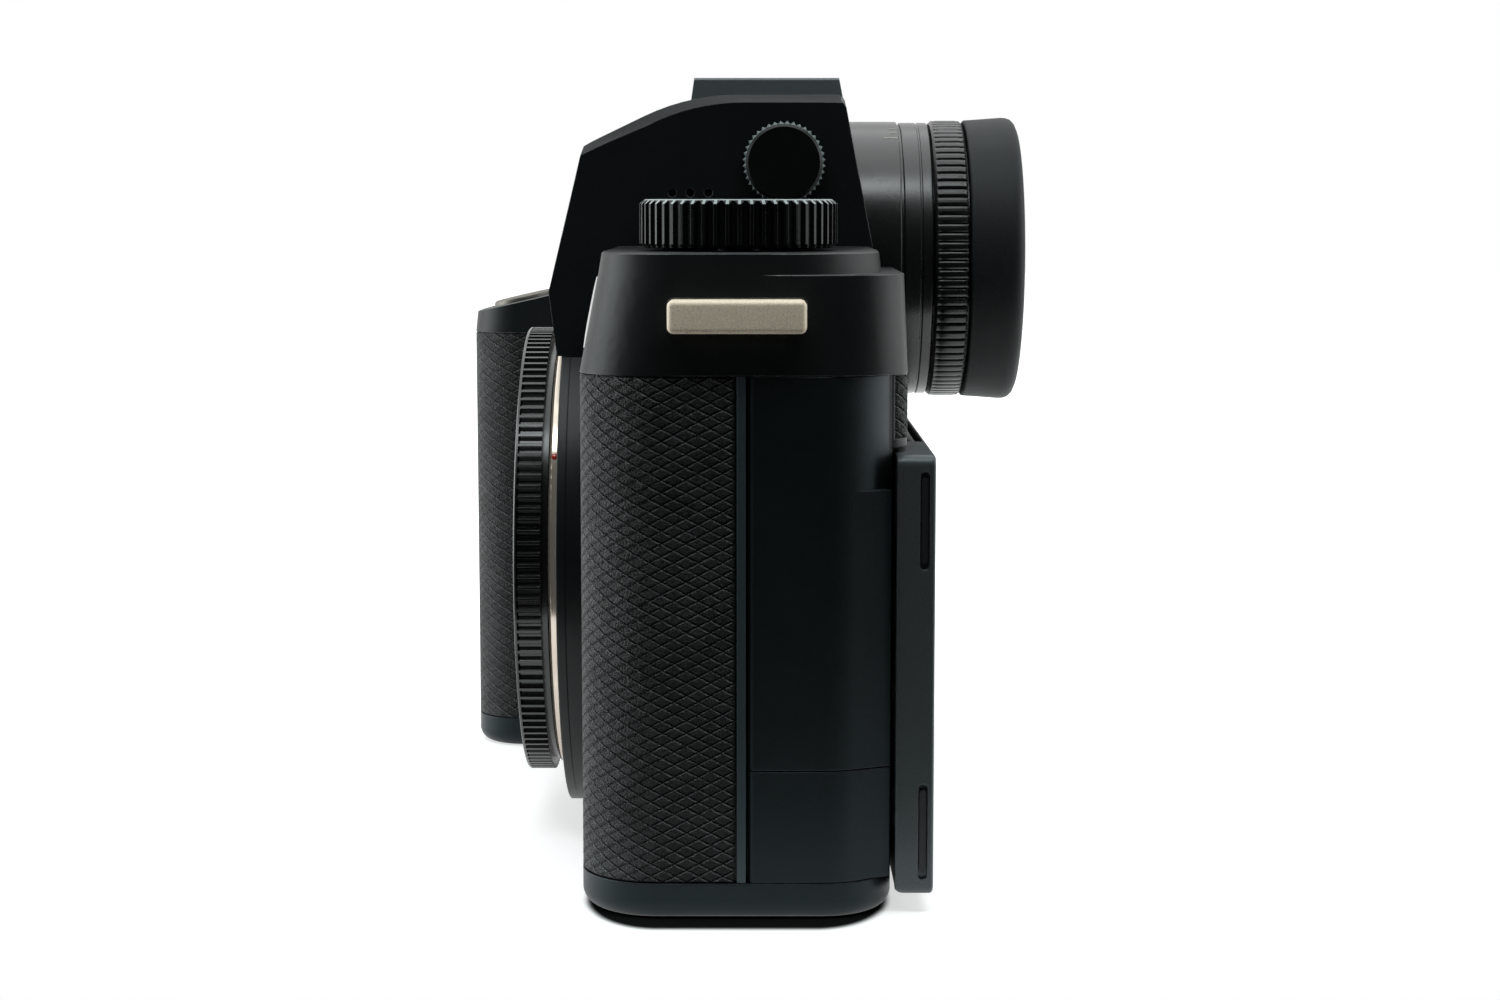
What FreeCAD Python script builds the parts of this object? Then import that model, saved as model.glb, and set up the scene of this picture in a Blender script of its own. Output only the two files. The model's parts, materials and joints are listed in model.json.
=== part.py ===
# A mirrorless camera with a body cap, a round viewfinder eyepiece and a tilting rear screen.
# Millimetres. X runs along the body towards the socket side, Y runs from the lens to the back, Z is up.
# The origin is the mouth of the tripod socket, in the middle of the base.
import FreeCAD, Part
import math
import os
import re
import sys

import Sketcher
from FreeCAD import Placement, Rotation, Vector

document = FreeCAD.newDocument("camera")

# Driving dimensions, each set by itself
SIZES = [
    ("side_x", 64.5, "outer face of the socket side from the lens axis"),
    ("grip_side", 70.0, "outer face of the grip side from the lens axis"),
    ("front_deep", 21.75, "front face of the body from the tripod socket"),
    ("back_y", 18.2, "back face of the body from the tripod socket"),
    ("brow_proud", 1.9, "brow above the screen, beyond the back face"),
    ("brow_tall", 9.6, "brow above the screen"),
    ("brow_corner", 4.0, "upright corner radius of the brow beside the doors"),
    ("seam_deep", 1.1, "joint between the casings from the tripod socket"),
    ("base_z", 4.7, "height of the base plate"),
    ("casing_tall", 64.4, "height of the casings"),
    ("ledge_rise", 12.4, "grip side deck above the casings"),
    ("deck_rise", 2.8, "socket side deck above the grip side deck"),
    ("wall", 2.7, "front casing from its leather face to its inside"),
    ("rear_wall", 2.2, "rear casing wall"),
    ("skin", 1.8, "base plate and top cover wall"),
    ("leather", 0.9, "thickness of the leather covering"),
    ("corner", 10.0, "upright corner radius at the front of the socket side"),
    ("back_corner", 9.0, "upright corner radius at the back of the socket side"),
    ("thumb_corner", 6.0, "upright corner radius at the back of the grip side"),
    ("base_edge", 2.2, "rounding under the base plate"),
    ("top_edge", 0.6, "broken edge round the decks"),
    ("grip_deep", 24.0, "grip in front of the body"),
    ("grip_wide", 27.0, "grip across its front"),
    ("grip_flare", 2.0, "how much wider the grip is at its root"),
    ("grip_corner", 10.0, "outer front corner radius of the grip"),
    ("grip_in_corner", 8.0, "inner front corner radius of the grip"),
    ("root_corner", 3.0, "hollow between the grip and the body"),
    ("grip_top_rise", 3.2, "top of the grip at its front, above the casings"),
    ("grip_slope", 13.0, "slope of the grip's top in degrees"),
    ("slope_behind", 2.75, "from the body's front to the end of the grip's slope"),
    ("draft", 1.2, "how far the sides lean in up to the ledge"),
    ("front_lean", 2.4, "how far the front leans back up to the ledge"),
    ("back_lean", 0.5, "how far the back leans forward up to the ledge"),
    ("deck_setback", 1.9, "back of the socket side deck in front of the back face"),
    ("deck_corner", 15.0, "back corner radius of the socket side deck"),
    ("tower_foot", 1.9, "underside of the round boss above the table"),
    ("tower_wide", 5.3, "boss beyond the mount ring"),
    ("tower_proud", 4.6, "boss in front of the body"),
    ("tower_edge", 1.2, "chamfer on the boss"),
    ("ring_bore", 27.0, "inside of the mount ring"),
    ("ring_wide", 5.0, "mount ring from its inside to its outside"),
    ("ring_proud", 1.45, "face of the mount ring in front of the boss"),
    ("ring_seat", 0.5, "depth of the ring's seat in the boss"),
    ("tab_reach", 2.0, "bayonet tabs inside the ring"),
    ("tab_front", 1.2, "from the flange face to the bayonet tabs"),
    ("tab_thick", 1.0, "bayonet tabs behind the ring's seat"),
    ("tab_gap", 48.0, "opening between two bayonet tabs in degrees"),
    ("tab_count", 4, "bayonet tabs"),
    ("screw_count", 6, "mount screws"),
    ("screw_head", 1.3, "radius of a mount screw's head"),
    ("screw_thick", 0.6, "thickness of a mount screw's head"),
    ("pin_angle", 222.0, "place of the lock pin round the mount in degrees"),
    ("pin_radius", 1.1, "lens lock pin"),
    ("pin_proud", 1.5, "lock pin beyond the flange face"),
    ("release_out", 5.0, "release button beyond the boss"),
    ("release_radius", 3.4, "lens release button"),
    ("release_proud", 3.2, "release button in front of the body"),
    ("cap_over", 0.85, "body cap beyond the mount ring"),
    ("cap_tall", 4.75, "front of the body cap from the flange face"),
    ("cap_foot", 1.0, "plain foot of the cap behind its ribs"),
    ("cap_ribs", 132, "ribs round the body cap"),
    ("cap_groove", 0.5, "depth of the grooves between the ribs"),
    ("hump_side", 22.5, "half width of the viewfinder housing"),
    ("hump_chamfer", 1.3, "chamfer along the viewfinder housing's upper edges"),
    ("hump_foot_proud", 0.65, "foot of the viewfinder housing in front of the boss"),
    ("hump_nose_proud", 1.1, "nose of the viewfinder housing in front of its foot"),
    ("hump_nose_rise", 9.0, "nose above the casings"),
    ("hump_front_lean", 4.9, "how far the housing's front leans back"),
    ("hump_front_tall", 20.2, "height of the housing's front above its nose"),
    ("hump_roof_long", 14.6, "length of the housing's sloping roof"),
    ("hump_roof_rise", 7.0, "rise of that roof"),
    ("hump_crown_long", 21.6, "length of the flat crown"),
    ("hump_tail_long", 4.1, "how far the housing's back leans out down to the deck"),
    ("hump_wall", 2.4, "wall of the viewfinder housing"),
    ("eye_rise", 13.1, "eyepiece axis above the casings"),
    ("barrel_radius", 20.0, "fixed eyepiece barrel"),
    ("barrel_seat", 1.0, "bottom of the barrel's seat behind the crown"),
    ("barrel_proud", 1.5, "wide part of the barrel beyond the brow"),
    ("collar_long", 4.3, "length of the barrel's collar"),
    ("collar_step", 0.6, "collar inside the barrel's radius"),
    ("ring_step", 0.15, "diopter ring outside the barrel's radius"),
    ("eye_ring_long", 4.9, "length of the diopter ring"),
    ("eye_ring_deep", 2.55, "diopter ring from its ribs to its bore"),
    ("sleeve_thick", 4.1, "sleeve that the diopter ring turns on"),
    ("eye_ribs", 96, "ribs round the diopter ring"),
    ("eyecup_step", 0.6, "eyecup outside the barrel's radius"),
    ("eyecup_long", 8.0, "length of the eyecup"),
    ("eyecup_flare", 0.4, "how much narrower the eyecup is at its root"),
    ("knob_y", 4.7, "place of the side knob along the housing"),
    ("knob_drop", 9.4, "side knob below the crown"),
    ("knob_radius", 5.75, "side knob over its teeth"),
    ("knob_tall", 2.6, "side knob from the housing to its face"),
    ("knob_shaft", 2.0, "shaft of the side knob"),
    ("knob_teeth", 40, "teeth round the side knob"),
    ("dial_x", 45.5, "centre of the socket side dial"),
    ("dial_y", -1.5, "centre of the socket side dial"),
    ("dial_radius", 12.9, "socket side dial"),
    ("dial_tall", 6.1, "height of that dial"),
    ("dial_grooves", 52, "grooves round that dial"),
    ("thumb_dial_in", 12.5, "centre of the grip side dial from the grip side"),
    ("thumb_dial_y", 6.0, "centre of the grip side dial"),
    ("thumb_dial_radius", 9.5, "grip side dial"),
    ("thumb_dial_tall", 5.2, "height of that dial"),
    ("thumb_dial_grooves", 44, "grooves round that dial"),
    ("mode_dial_pitch", 21.0, "from the grip side dial to the mode dial"),
    ("mode_dial_y", 1.5, "centre of the mode dial"),
    ("mode_dial_radius", 8.6, "mode dial"),
    ("mode_dial_tall", 5.6, "height of the mode dial"),
    ("mode_dial_grooves", 40, "grooves round the mode dial"),
    ("shaft_radius", 3.0, "shaft of a dial"),
    ("shaft_gap", 0.08, "running clearance of a shaft"),
    ("run_gap", 0.3, "clearance between moving pieces"),
    ("fit_gap", 0.1, "clearance between fixed pieces"),
    ("wheel_in", 13.5, "middle of the front wheel from the grip side"),
    ("wheel_behind", 19.6, "axis of the front wheel behind the grip's front"),
    ("wheel_radius", 6.5, "front wheel"),
    ("wheel_wide", 9.0, "width of the front wheel"),
    ("wheel_proud", 1.4, "front wheel above the slope"),
    ("wheel_grooves", 30, "grooves round the front wheel"),
    ("axle_radius", 1.2, "axle of the front wheel"),
    ("axle_reach", 3.0, "axle beyond the wheel's side"),
    ("shutter_behind", 7.55, "centre of the shutter button behind the grip's front"),
    ("shutter_radius", 5.2, "shutter button"),
    ("shutter_proud", 1.3, "shutter button above the slope"),
    ("shutter_sunk", 1.2, "shutter button below the slope"),
    ("button_stem", 1.5, "stem of the shutter button"),
    ("shoe_slot_half", 9.3, "half width of the shoe's slot"),
    ("shoe_side", 1.5, "side wall of the accessory shoe"),
    ("shoe_lip_reach", 3.0, "how far the shoe's lips reach in"),
    ("shoe_long", 21.6, "length of the accessory shoe"),
    ("shoe_over", 0.2, "shoe beyond the end of the crown"),
    ("shoe_tall", 2.8, "accessory shoe above the crown"),
    ("shoe_sunk", 1.0, "accessory shoe below the crown"),
    ("shoe_floor", 0.7, "thickness of the shoe's floor"),
    ("shoe_lip", 1.1, "thickness of the shoe's lips"),
    ("lug_half", 8.7, "half length of a strap lug"),
    ("lug_y", -1.6, "middle of a strap lug"),
    ("lug_rise", 7.55, "strap lugs above the casings"),
    ("lug_tall", 4.1, "height of a strap lug's bar"),
    ("lug_reach", 3.35, "strap lug beyond the casing"),
    ("lug_seat", 2.8, "depth of a strap lug's seat"),
    ("lug_corner", 0.8, "corner radius of a strap lug"),
    ("lug_bar", 1.5, "thickness of a strap lug's bar"),
    ("lug_post", 2.6, "length of a strap lug's post"),
    ("window_in", 23.5, "inner end of the front window from the socket side"),
    ("window_wide", 12.5, "width of the front window"),
    ("window_rise", 3.0, "lower edge of the front window above the casings"),
    ("window_tall", 8.9, "height of the front window"),
    ("battery_in", 4.0, "battery from the grip side"),
    ("battery_behind", 9.25, "battery behind the grip's front"),
    ("battery_wide", 19.5, "battery width"),
    ("battery_deep", 37.5, "battery depth"),
    ("battery_room", 9.1, "top of the battery below the top of the casings"),
    ("battery_gap", 0.3, "battery in its bay"),
    ("battery_corner", 3.0, "upright edges of the battery"),
    ("bay_wall", 0.65, "wall of the battery bay"),
    ("lever_out", 8.5, "battery lever beside the battery"),
    ("lever_y", -12.0, "battery lever"),
    ("lever_radius", 4.0, "battery lever"),
    ("lever_thick", 1.0, "thickness of the battery lever"),
    ("screen_low_z", 2.5, "lower edge of the screen"),
    ("screen_gap", 0.5, "screen below the brow"),
    ("screen_in", 2.5, "screen inside the socket side"),
    ("screen_wide", 78.0, "width of the screen"),
    ("screen_thick", 4.9, "thickness of the screen"),
    ("arm_in", 19.2, "arm from the inner edge of the screen"),
    ("arm_wide", 39.6, "width of the tilting arm"),
    ("arm_thick", 1.6, "thickness of the tilting arm"),
    ("low_pivot_in", 1.7, "lower pivot behind the screen's front"),
    ("low_pivot_up", 1.5, "lower pivot above the screen's lower edge"),
    ("high_pivot_in", 3.0, "upper pivot behind the screen's front"),
    ("high_pivot_down", 1.2, "upper pivot below the screen's upper edge"),
    ("pivot_pin", 0.6, "radius of the pivot pins"),
    ("knuckle", 1.1, "radius of the arm's knuckles"),
    ("ear_thick", 1.5, "thickness of the hinge ears"),
    ("slot_in", 3.5, "slots in the screen's side, behind its front"),
    ("slot_wide", 1.2, "width of those slots"),
    ("slot_tall", 12.4, "length of those slots"),
    ("slot_end", 2.1, "those slots from the ends of the screen"),
    ("rib_wide", 1.1, "rib between leather and doors"),
    ("door_gap", 0.2, "gap round a door"),
    ("door_low_tall", 14.5, "height of the lower door"),
    ("door_thick", 1.7, "thickness of the doors"),
    ("door_recess", 2.1, "depth of the doors' recess"),
    ("door_wrap", 6.0, "free edge of the doors from the socket side"),
    ("recess_wall", 1.7, "wall behind the doors"),
    ("lip_turn", 25.0, "where the finger lip leaves the corner, in degrees from the side"),
    ("lip_long", 5.3, "how far the finger lip runs on straight"),
    ("lip_root", 62.0, "where its end meets the corner again, in degrees from the side"),
    ("lip_low", 1.6, "lower end of the finger lip above the base plate"),
    ("lip_tall", 48.3, "length of the finger lip"),
    ("card_behind", 2.4, "hinge edge of the card door behind the rib"),
    ("card_wide", 10.3, "width of the card door"),
    ("card_low", 8.3, "lower edge of the card door above the base plate"),
    ("card_tall", 44.0, "height of the card door"),
    ("patch_beside", 2.5, "leather on the brow beside the eyepiece"),
    ("patch_turn", 35.0, "how far round the corner that leather ends, in degrees from the side"),
    ("tripod_radius", 2.55, "bore of the tripod socket"),
    ("tripod_deep", 5.5, "depth of the tripod socket"),
    ("tripod_insert", 5.0, "steel insert of the tripod socket"),
    ("tripod_boss", 8.0, "boss round that insert"),
    ("shutter_clear", 5.45, "shutter unit behind the front casing"),
    ("shutter_deep", 4.0, "depth of the shutter unit"),
    ("gate_half_x", 19.5, "half width of the picture gate"),
    ("gate_half_z", 13.5, "half height of the picture gate"),
    ("leaf_tall", 10.0, "height of a shutter leaf"),
    ("leaf_thick", 0.3, "thickness of a shutter leaf"),
    ("leaf_drop", 1.2, "parked leaves below the picture gate"),
    ("leaf_step", 0.7, "from one leaf to the next"),
    ("sensor_behind", 1.2, "image sensor behind the shutter unit"),
    ("sensor_half_x", 18.2, "half width of the image sensor"),
    ("sensor_half_z", 12.4, "half height of the image sensor"),
    ("chassis_behind", 7.2, "chassis plate behind the shutter unit"),
    ("chassis_thick", 1.5, "chassis plate"),
    ("key_in", 43.5, "line of the back keys from the grip side"),
    ("key_radius", 3.1, "back keys"),
    ("key_proud", 1.0, "keys above the casing"),
    ("key_low_z", 21.0, "lowest back key"),
    ("key_pitch", 11.5, "from one back key to the next"),
    ("rear_dial_in", 23.5, "centre of the rear dial from the grip side"),
    ("rear_dial_z", 32.0, "centre of the rear dial"),
    ("rear_dial_radius", 11.5, "rear dial"),
    ("rear_dial_tall", 2.5, "rear dial beyond the back face"),
    ("stick_in", 37.0, "joystick from the grip side"),
    ("stick_drop", 4.8, "joystick below the top of the casings"),
    ("stick_radius", 3.3, "joystick cap"),
    ("stick_hole", 2.6, "opening round the joystick's stem"),
    ("deck_key_radius", 2.6, "small keys of the grip side deck"),
]

# Places that follow from the driving dimensions
PLACES = [
    ("grip_x", "-grip_side"),
    ("front_y", "-front_deep"),
    ("seam_y", "-seam_deep"),
    ("brow_y", "back_y + brow_proud"),
    ("seam_z", "base_z + casing_tall"),
    ("brow_z", "seam_z - brow_tall"),
    ("ledge_z", "seam_z + ledge_rise"),
    ("deck_z", "ledge_z + deck_rise"),
    ("deck_back_y", "back_y - deck_setback"),
    ("grip_y", "front_y - grip_deep"),
    ("grip_in_x", "grip_x + grip_wide"),
    ("root_x", "grip_in_x + grip_flare"),
    ("grip_top_z", "seam_z + grip_top_rise"),
    ("grip_slope_end_y", "front_y + slope_behind"),
    ("ring_radius", "ring_bore + ring_wide"),
    ("throat_radius", "ring_bore + 0.5"),
    ("tab_radius", "ring_bore - tab_reach"),
    ("screw_circle", "ring_bore + ring_wide / 2"),
    ("tower_radius", "ring_radius + tower_wide"),
    ("release_circle", "tower_radius + release_out"),
    ("lens_z", "tower_foot + tower_radius"),
    ("tower_y", "front_y - tower_proud"),
    ("flange_y", "tower_y - ring_proud"),
    ("cap_radius", "ring_radius + cap_over"),
    ("cap_front_y", "flange_y - cap_tall"),
    ("cap_rib_y", "flange_y - cap_foot"),
    ("hump_foot_y", "tower_y - hump_foot_proud"),
    ("hump_nose_y", "hump_foot_y - hump_nose_proud"),
    ("hump_nose_z", "seam_z + hump_nose_rise"),
    ("hump_brow_y", "hump_nose_y + hump_front_lean"),
    ("hump_brow_z", "hump_nose_z + hump_front_tall"),
    ("hump_crown_y", "hump_brow_y + hump_roof_long"),
    ("hump_crown_z", "hump_brow_z + hump_roof_rise"),
    ("hump_tail_y", "hump_crown_y + hump_crown_long"),
    ("eye_z", "seam_z + eye_rise"),
    ("barrel_in_y", "hump_tail_y + barrel_seat"),
    ("barrel_y", "brow_y + barrel_proud"),
    ("collar_y", "barrel_y + collar_long"),
    ("collar_radius", "barrel_radius - collar_step"),
    ("eye_ring_radius", "barrel_radius + ring_step"),
    ("eye_ring_y", "collar_y + eye_ring_long"),
    ("sleeve_radius", "eye_ring_radius - eye_ring_deep"),
    ("eye_bore", "sleeve_radius - sleeve_thick"),
    ("eyecup_radius", "barrel_radius + eyecup_step"),
    ("eyecup_y", "eye_ring_y + eyecup_long"),
    ("knob_z", "hump_crown_z - knob_drop"),
    ("microphone_z", "knob_z - 4.1"),
    ("thumb_dial_x", "grip_x + thumb_dial_in"),
    ("mode_dial_x", "thumb_dial_x + mode_dial_pitch"),
    ("wheel_x", "grip_x + wheel_in"),
    ("wheel_y", "grip_y + wheel_behind"),
    ("shutter_y", "grip_y + shutter_behind"),
    ("shoe_half", "shoe_slot_half + shoe_side"),
    ("shoe_mouth_half", "shoe_slot_half - shoe_lip_reach"),
    ("shoe_back_y", "hump_tail_y + shoe_over"),
    ("shoe_front_y", "shoe_back_y - shoe_long"),
    ("shoe_top_z", "hump_crown_z + shoe_tall"),
    ("shoe_floor_z", "hump_crown_z - shoe_sunk + shoe_floor"),
    ("lug_z", "seam_z + lug_rise"),
    ("window_left_x", "side_x - window_in"),
    ("window_right_x", "window_left_x + window_wide"),
    ("window_low_z", "seam_z + window_rise"),
    ("window_high_z", "window_low_z + window_tall"),
    ("battery_left_x", "grip_x + battery_in"),
    ("battery_right_x", "battery_left_x + battery_wide"),
    ("battery_front_y", "grip_y + battery_behind"),
    ("battery_back_y", "battery_front_y + battery_deep"),
    ("battery_tall", "seam_z - battery_room"),
    ("lever_x", "battery_right_x + lever_out"),
    ("screen_in_y", "back_y + run_gap"),
    ("screen_out_y", "screen_in_y + screen_thick"),
    ("screen_high_z", "brow_z - screen_gap"),
    ("screen_right_x", "side_x - screen_in"),
    ("screen_left_x", "screen_right_x - screen_wide"),
    ("arm_left_x", "screen_left_x + arm_in"),
    ("arm_right_x", "arm_left_x + arm_wide"),
    ("low_pivot_y", "screen_in_y + low_pivot_in"),
    ("low_pivot_z", "screen_low_z + low_pivot_up"),
    ("high_pivot_y", "screen_in_y + high_pivot_in"),
    ("high_pivot_z", "screen_high_z - high_pivot_down"),
    ("slot_y", "screen_in_y + slot_in"),
    ("slot_low_z", "screen_low_z + slot_end"),
    ("slot_high_z", "screen_high_z - slot_end - slot_tall"),
    ("rib_front_y", "seam_y - rib_wide / 2"),
    ("rib_back_y", "seam_y + rib_wide / 2"),
    ("door_front_y", "rib_back_y + door_gap"),
    ("door_split_z", "base_z + door_low_tall"),
    ("door_wrap_x", "side_x - door_wrap"),
    ("card_front_y", "rib_back_y + card_behind"),
    ("card_back_y", "card_front_y + card_wide"),
    ("card_low_z", "base_z + card_low"),
    ("card_high_z", "card_low_z + card_tall"),
    ("patch_left_x", "barrel_radius + patch_beside"),
    ("shutter_front_y", "front_y + wall + shutter_clear"),
    ("shutter_back_y", "shutter_front_y + shutter_deep"),
    ("leaf_low_z", "lens_z - gate_half_z - leaf_drop - leaf_tall"),
    ("sensor_y", "shutter_back_y + sensor_behind"),
    ("chassis_y", "shutter_back_y + chassis_behind"),
    ("key_x", "grip_x + key_in"),
    ("rear_dial_x", "grip_x + rear_dial_in"),
    ("stick_x", "grip_x + stick_in"),
    ("stick_z", "seam_z - stick_drop"),
]
NAMES = {row[0] for row in SIZES + PLACES}

sheet = document.addObject("Spreadsheet::Sheet", "sizes")
for line_number, (alias, value, note) in enumerate(SIZES, 1):
    sheet.set(f"A{line_number}", note)
    sheet.set(f"B{line_number}", str(value))
    sheet.setAlias(f"B{line_number}", alias)
for line_number, (alias, text) in enumerate(PLACES, len(SIZES) + 1):
    sheet.set(f"B{line_number}", "=" + text)
    sheet.setAlias(f"B{line_number}", alias)
arithmetic = document.addObject("Spreadsheet::Sheet", "arithmetic")
document.recompute()
known = {}


def bound(text):
    """An expression in the sheet's names, as the document reads it."""
    return re.sub(r"[a-z][a-z_]*", lambda m: "sizes." + m.group(0) if m.group(0) in NAMES else m.group(0), str(text))


def number(text):
    """The present value of an expression in the sheet's names, worked out in a cell of its own."""
    if text not in known:
        arithmetic.set("A1", "=" + bound(text))
        arithmetic.recompute()
        known[text] = float(arithmetic.get("A1"))
    return known[text]


# Helpers for bodies made of sketches

def new_body(name):
    body = document.addObject("PartDesign::Body", name)
    body.Label = name
    return body


def origin_feature(body, role):
    return [f for f in body.Origin.OriginFeatures if f.Role == role][0]


def place(body, x="0", y="0", z="0", turn=None):
    """Stands a body, made round its own Z axis, at its place in the camera."""
    if turn:
        body.Placement = Placement(Vector(), Rotation(Vector(*turn[0]), turn[1]))
    for axis, text in (("x", x), ("y", y), ("z", z)):
        body.setExpression(f"Placement.Base.{axis}", bound(text))


FACING_FRONT = ((1, 0, 0), 90)
FACING_BACK = ((1, 0, 0), -90)
FACING_SIDE = ((0, 1, 0), 90)


def draw_polygon(sketch, corners):
    """A closed outline through (x, y) or (x, y, radius) corners, each held by the sheet."""
    at = [Vector(number(c[0]), number(c[1]), 0) for c in corners]
    count = len(corners)
    first = len(sketch.Geometry)
    for i in range(count):
        sketch.addGeometry(Part.LineSegment(at[i], at[(i + 1) % count]), False)
    for i in range(count):
        sketch.addConstraint(Sketcher.Constraint("Coincident", first + i, 2, first + (i + 1) % count, 1))
    for i, corner in enumerate(corners):
        for kind, text, value in (("DistanceX", corner[0], at[i].x), ("DistanceY", corner[1], at[i].y)):
            held = sketch.addConstraint(Sketcher.Constraint(kind, -1, 1, first + i, 1, value))
            sketch.setExpression(f"Constraints[{held}]", bound(text))
    for i, corner in enumerate(corners):
        if len(corner) < 3:
            continue
        radius = number(corner[2])
        before = (at[i - 1] - at[i]).normalize() * radius
        after = (at[(i + 1) % count] - at[i]).normalize() * radius
        sketch.fillet(first + (i - 1) % count, first + i, at[i] + before, at[i] + after, radius, True, True)
        arc = [k for k, g in enumerate(sketch.Geometry) if isinstance(g, Part.ArcOfCircle)][-1]
        held = sketch.addConstraint(Sketcher.Constraint("Radius", arc, radius))
        sketch.setExpression(f"Constraints[{held}]", bound(corner[2]))


def draw_circle(sketch, x, y, radius):
    """A circle held by the sheet."""
    added = sketch.addGeometry(Part.Circle(Vector(number(x), number(y), 0), Vector(0, 0, 1), number(radius)), False)
    for kind, text in (("DistanceX", x), ("DistanceY", y)):
        held = sketch.addConstraint(Sketcher.Constraint(kind, -1, 1, added, 3, number(text)))
        sketch.setExpression(f"Constraints[{held}]", bound(text))
    held = sketch.addConstraint(Sketcher.Constraint("Radius", added, number(radius)))
    sketch.setExpression(f"Constraints[{held}]", bound(radius))


def rectangle(x0, x1, y0, y1, radius=None):
    """The corners of a rectangle, for draw_polygon."""
    rounded = () if radius is None else (radius,)
    return [(x0, y0) + rounded, (x1, y0) + rounded, (x1, y1) + rounded, (x0, y1) + rounded]


def slope_z(y):
    """Height of the grip's sloping top at one Y."""
    return f"(grip_top_z + (({y}) - grip_y) * tan(grip_slope * 1deg))"


def slope_s(y):
    """Distance up the sloping top, in a sketch that lies on it, of one Y."""
    return f"(({y}) / cos(grip_slope * 1deg))"


PLANES = {"XY": "XY_Plane", "XZ": "XZ_Plane", "YZ": "YZ_Plane", "SLOPE": "XY_Plane"}


def new_sketch(body, plane, offset, loops):
    """A sketch on one of the body's planes. A loop is a list of corners or a circle's (x, y, radius)."""
    sketch = body.newObject("Sketcher::SketchObject", "Outline")
    sketch.AttachmentSupport = [(origin_feature(body, PLANES[plane]), "")]
    sketch.MapMode = "FlatFace"
    if plane == "SLOPE":
        sketch.AttachmentOffset = Placement(Vector(), Rotation(Vector(1, 0, 0), number("grip_slope")))
        sketch.setExpression("AttachmentOffset.Rotation.Angle", bound("grip_slope * 1deg"))
        sketch.setExpression("AttachmentOffset.Base.y", bound(f"-({offset}) * sin(grip_slope * 1deg)"))
        sketch.setExpression("AttachmentOffset.Base.z", bound(f"{slope_z('0')} + ({offset}) * cos(grip_slope * 1deg)"))
    else:
        sketch.setExpression("AttachmentOffset.Base.z", bound(offset))
    for loop in loops:
        if isinstance(loop, tuple):
            draw_circle(sketch, *loop)
        else:
            draw_polygon(sketch, loop)
    return sketch


def add(body, plane, low, high, *loops):
    """Adds the loops' solid between two heights along the plane's axis. The XZ plane faces -Y."""
    offset = f"-({high})" if plane == "XZ" else low
    pad = body.newObject("PartDesign::Pad", "Pad")
    pad.Profile = new_sketch(body, plane, offset, loops)
    pad.setExpression("Length", bound(f"({high}) - ({low})"))
    document.recompute()
    return pad


def cut(body, plane, low, high, *loops):
    """Cuts the loops' space between two heights along the plane's axis, and checks that it cut something."""
    before = body.Shape.Volume
    offset = f"-({low})" if plane == "XZ" else high
    pocket = body.newObject("PartDesign::Pocket", "Pocket")
    pocket.Profile = new_sketch(body, plane, offset, loops)
    pocket.setExpression("Length", bound(f"({high}) - ({low})"))
    document.recompute()
    if pocket.Shape.isNull() or pocket.Shape.Volume > before - 1e-4:
        sys.exit(f"a cut in {body.Label} across {plane} from {low} to {high} removed nothing")
    return pocket


def loft(body, plane, *levels):
    """Adds a solid that changes evenly from level to level, each given by its height and outline."""
    sketches = [new_sketch(body, plane, height, [outline]) for height, outline in levels]
    lofted = body.newObject("PartDesign::AdditiveLoft", "Loft")
    lofted.Profile = sketches[0]
    lofted.Sections = sketches[1:]
    lofted.Ruled = True
    document.recompute()
    return lofted


def turn_profile(body, corners, removing=False):
    """A solid, or a groove, of revolution about the body's own Z axis, from (radius, height) corners."""
    kind = "PartDesign::Groove" if removing else "PartDesign::Revolution"
    turned = body.newObject(kind, "Turned")
    sketch = new_sketch(body, "XZ", "0", [corners])
    turned.Profile = sketch
    turned.ReferenceAxis = (sketch, ["V_Axis"])
    turned.Angle = 360
    document.recompute()
    return turned


def repeat_round(body, feature, count):
    """Repeats a feature round the body's own Z axis."""
    pattern = body.newObject("PartDesign::PolarPattern", "Repeated")
    pattern.Originals = [feature]
    pattern.Axis = (origin_feature(body, "Z_Axis"), [""])
    pattern.Angle = 360
    pattern.setExpression("Occurrences", bound(count))
    body.Tip = pattern
    document.recompute()
    return pattern


def soften(body, size, pick, kind="Fillet"):
    """Rounds, or chamfers, the edges that pick chooses by their shape."""
    tip = body.Tip
    edges = [f"Edge{i}" for i, edge in enumerate(tip.Shape.Edges, 1) if pick(edge)]
    if not edges:
        sys.exit(f"no edge to soften in {body.Label}")
    softened = body.newObject(f"PartDesign::{kind}", kind)
    softened.Base = (tip, edges)
    softened.setExpression("Radius" if kind == "Fillet" else "Size", bound(size))
    document.recompute()
    return softened


def lies_at(axis, text, near=0.02):
    """Picks edges that lie wholly at one coordinate."""
    value = number(text)

    def pick(edge):
        box = edge.BoundBox
        low, high = getattr(box, axis + "Min"), getattr(box, axis + "Max")
        return abs(low - value) < near and abs(high - value) < near

    return pick


def circle_at(z, radius, near=0.02):
    """Picks a turned body's circular edges at one height and radius, in the body's own frame."""
    height, size = number(z), number(radius)

    def pick(edge):
        curve = edge.Curve
        return (
            isinstance(curve, Part.Circle)
            and abs(curve.Radius - size) < near
            and abs(curve.Center.z - height) < near
        )

    return pick


# Outlines that several pieces share. Each is set in by a stated amount.

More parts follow.
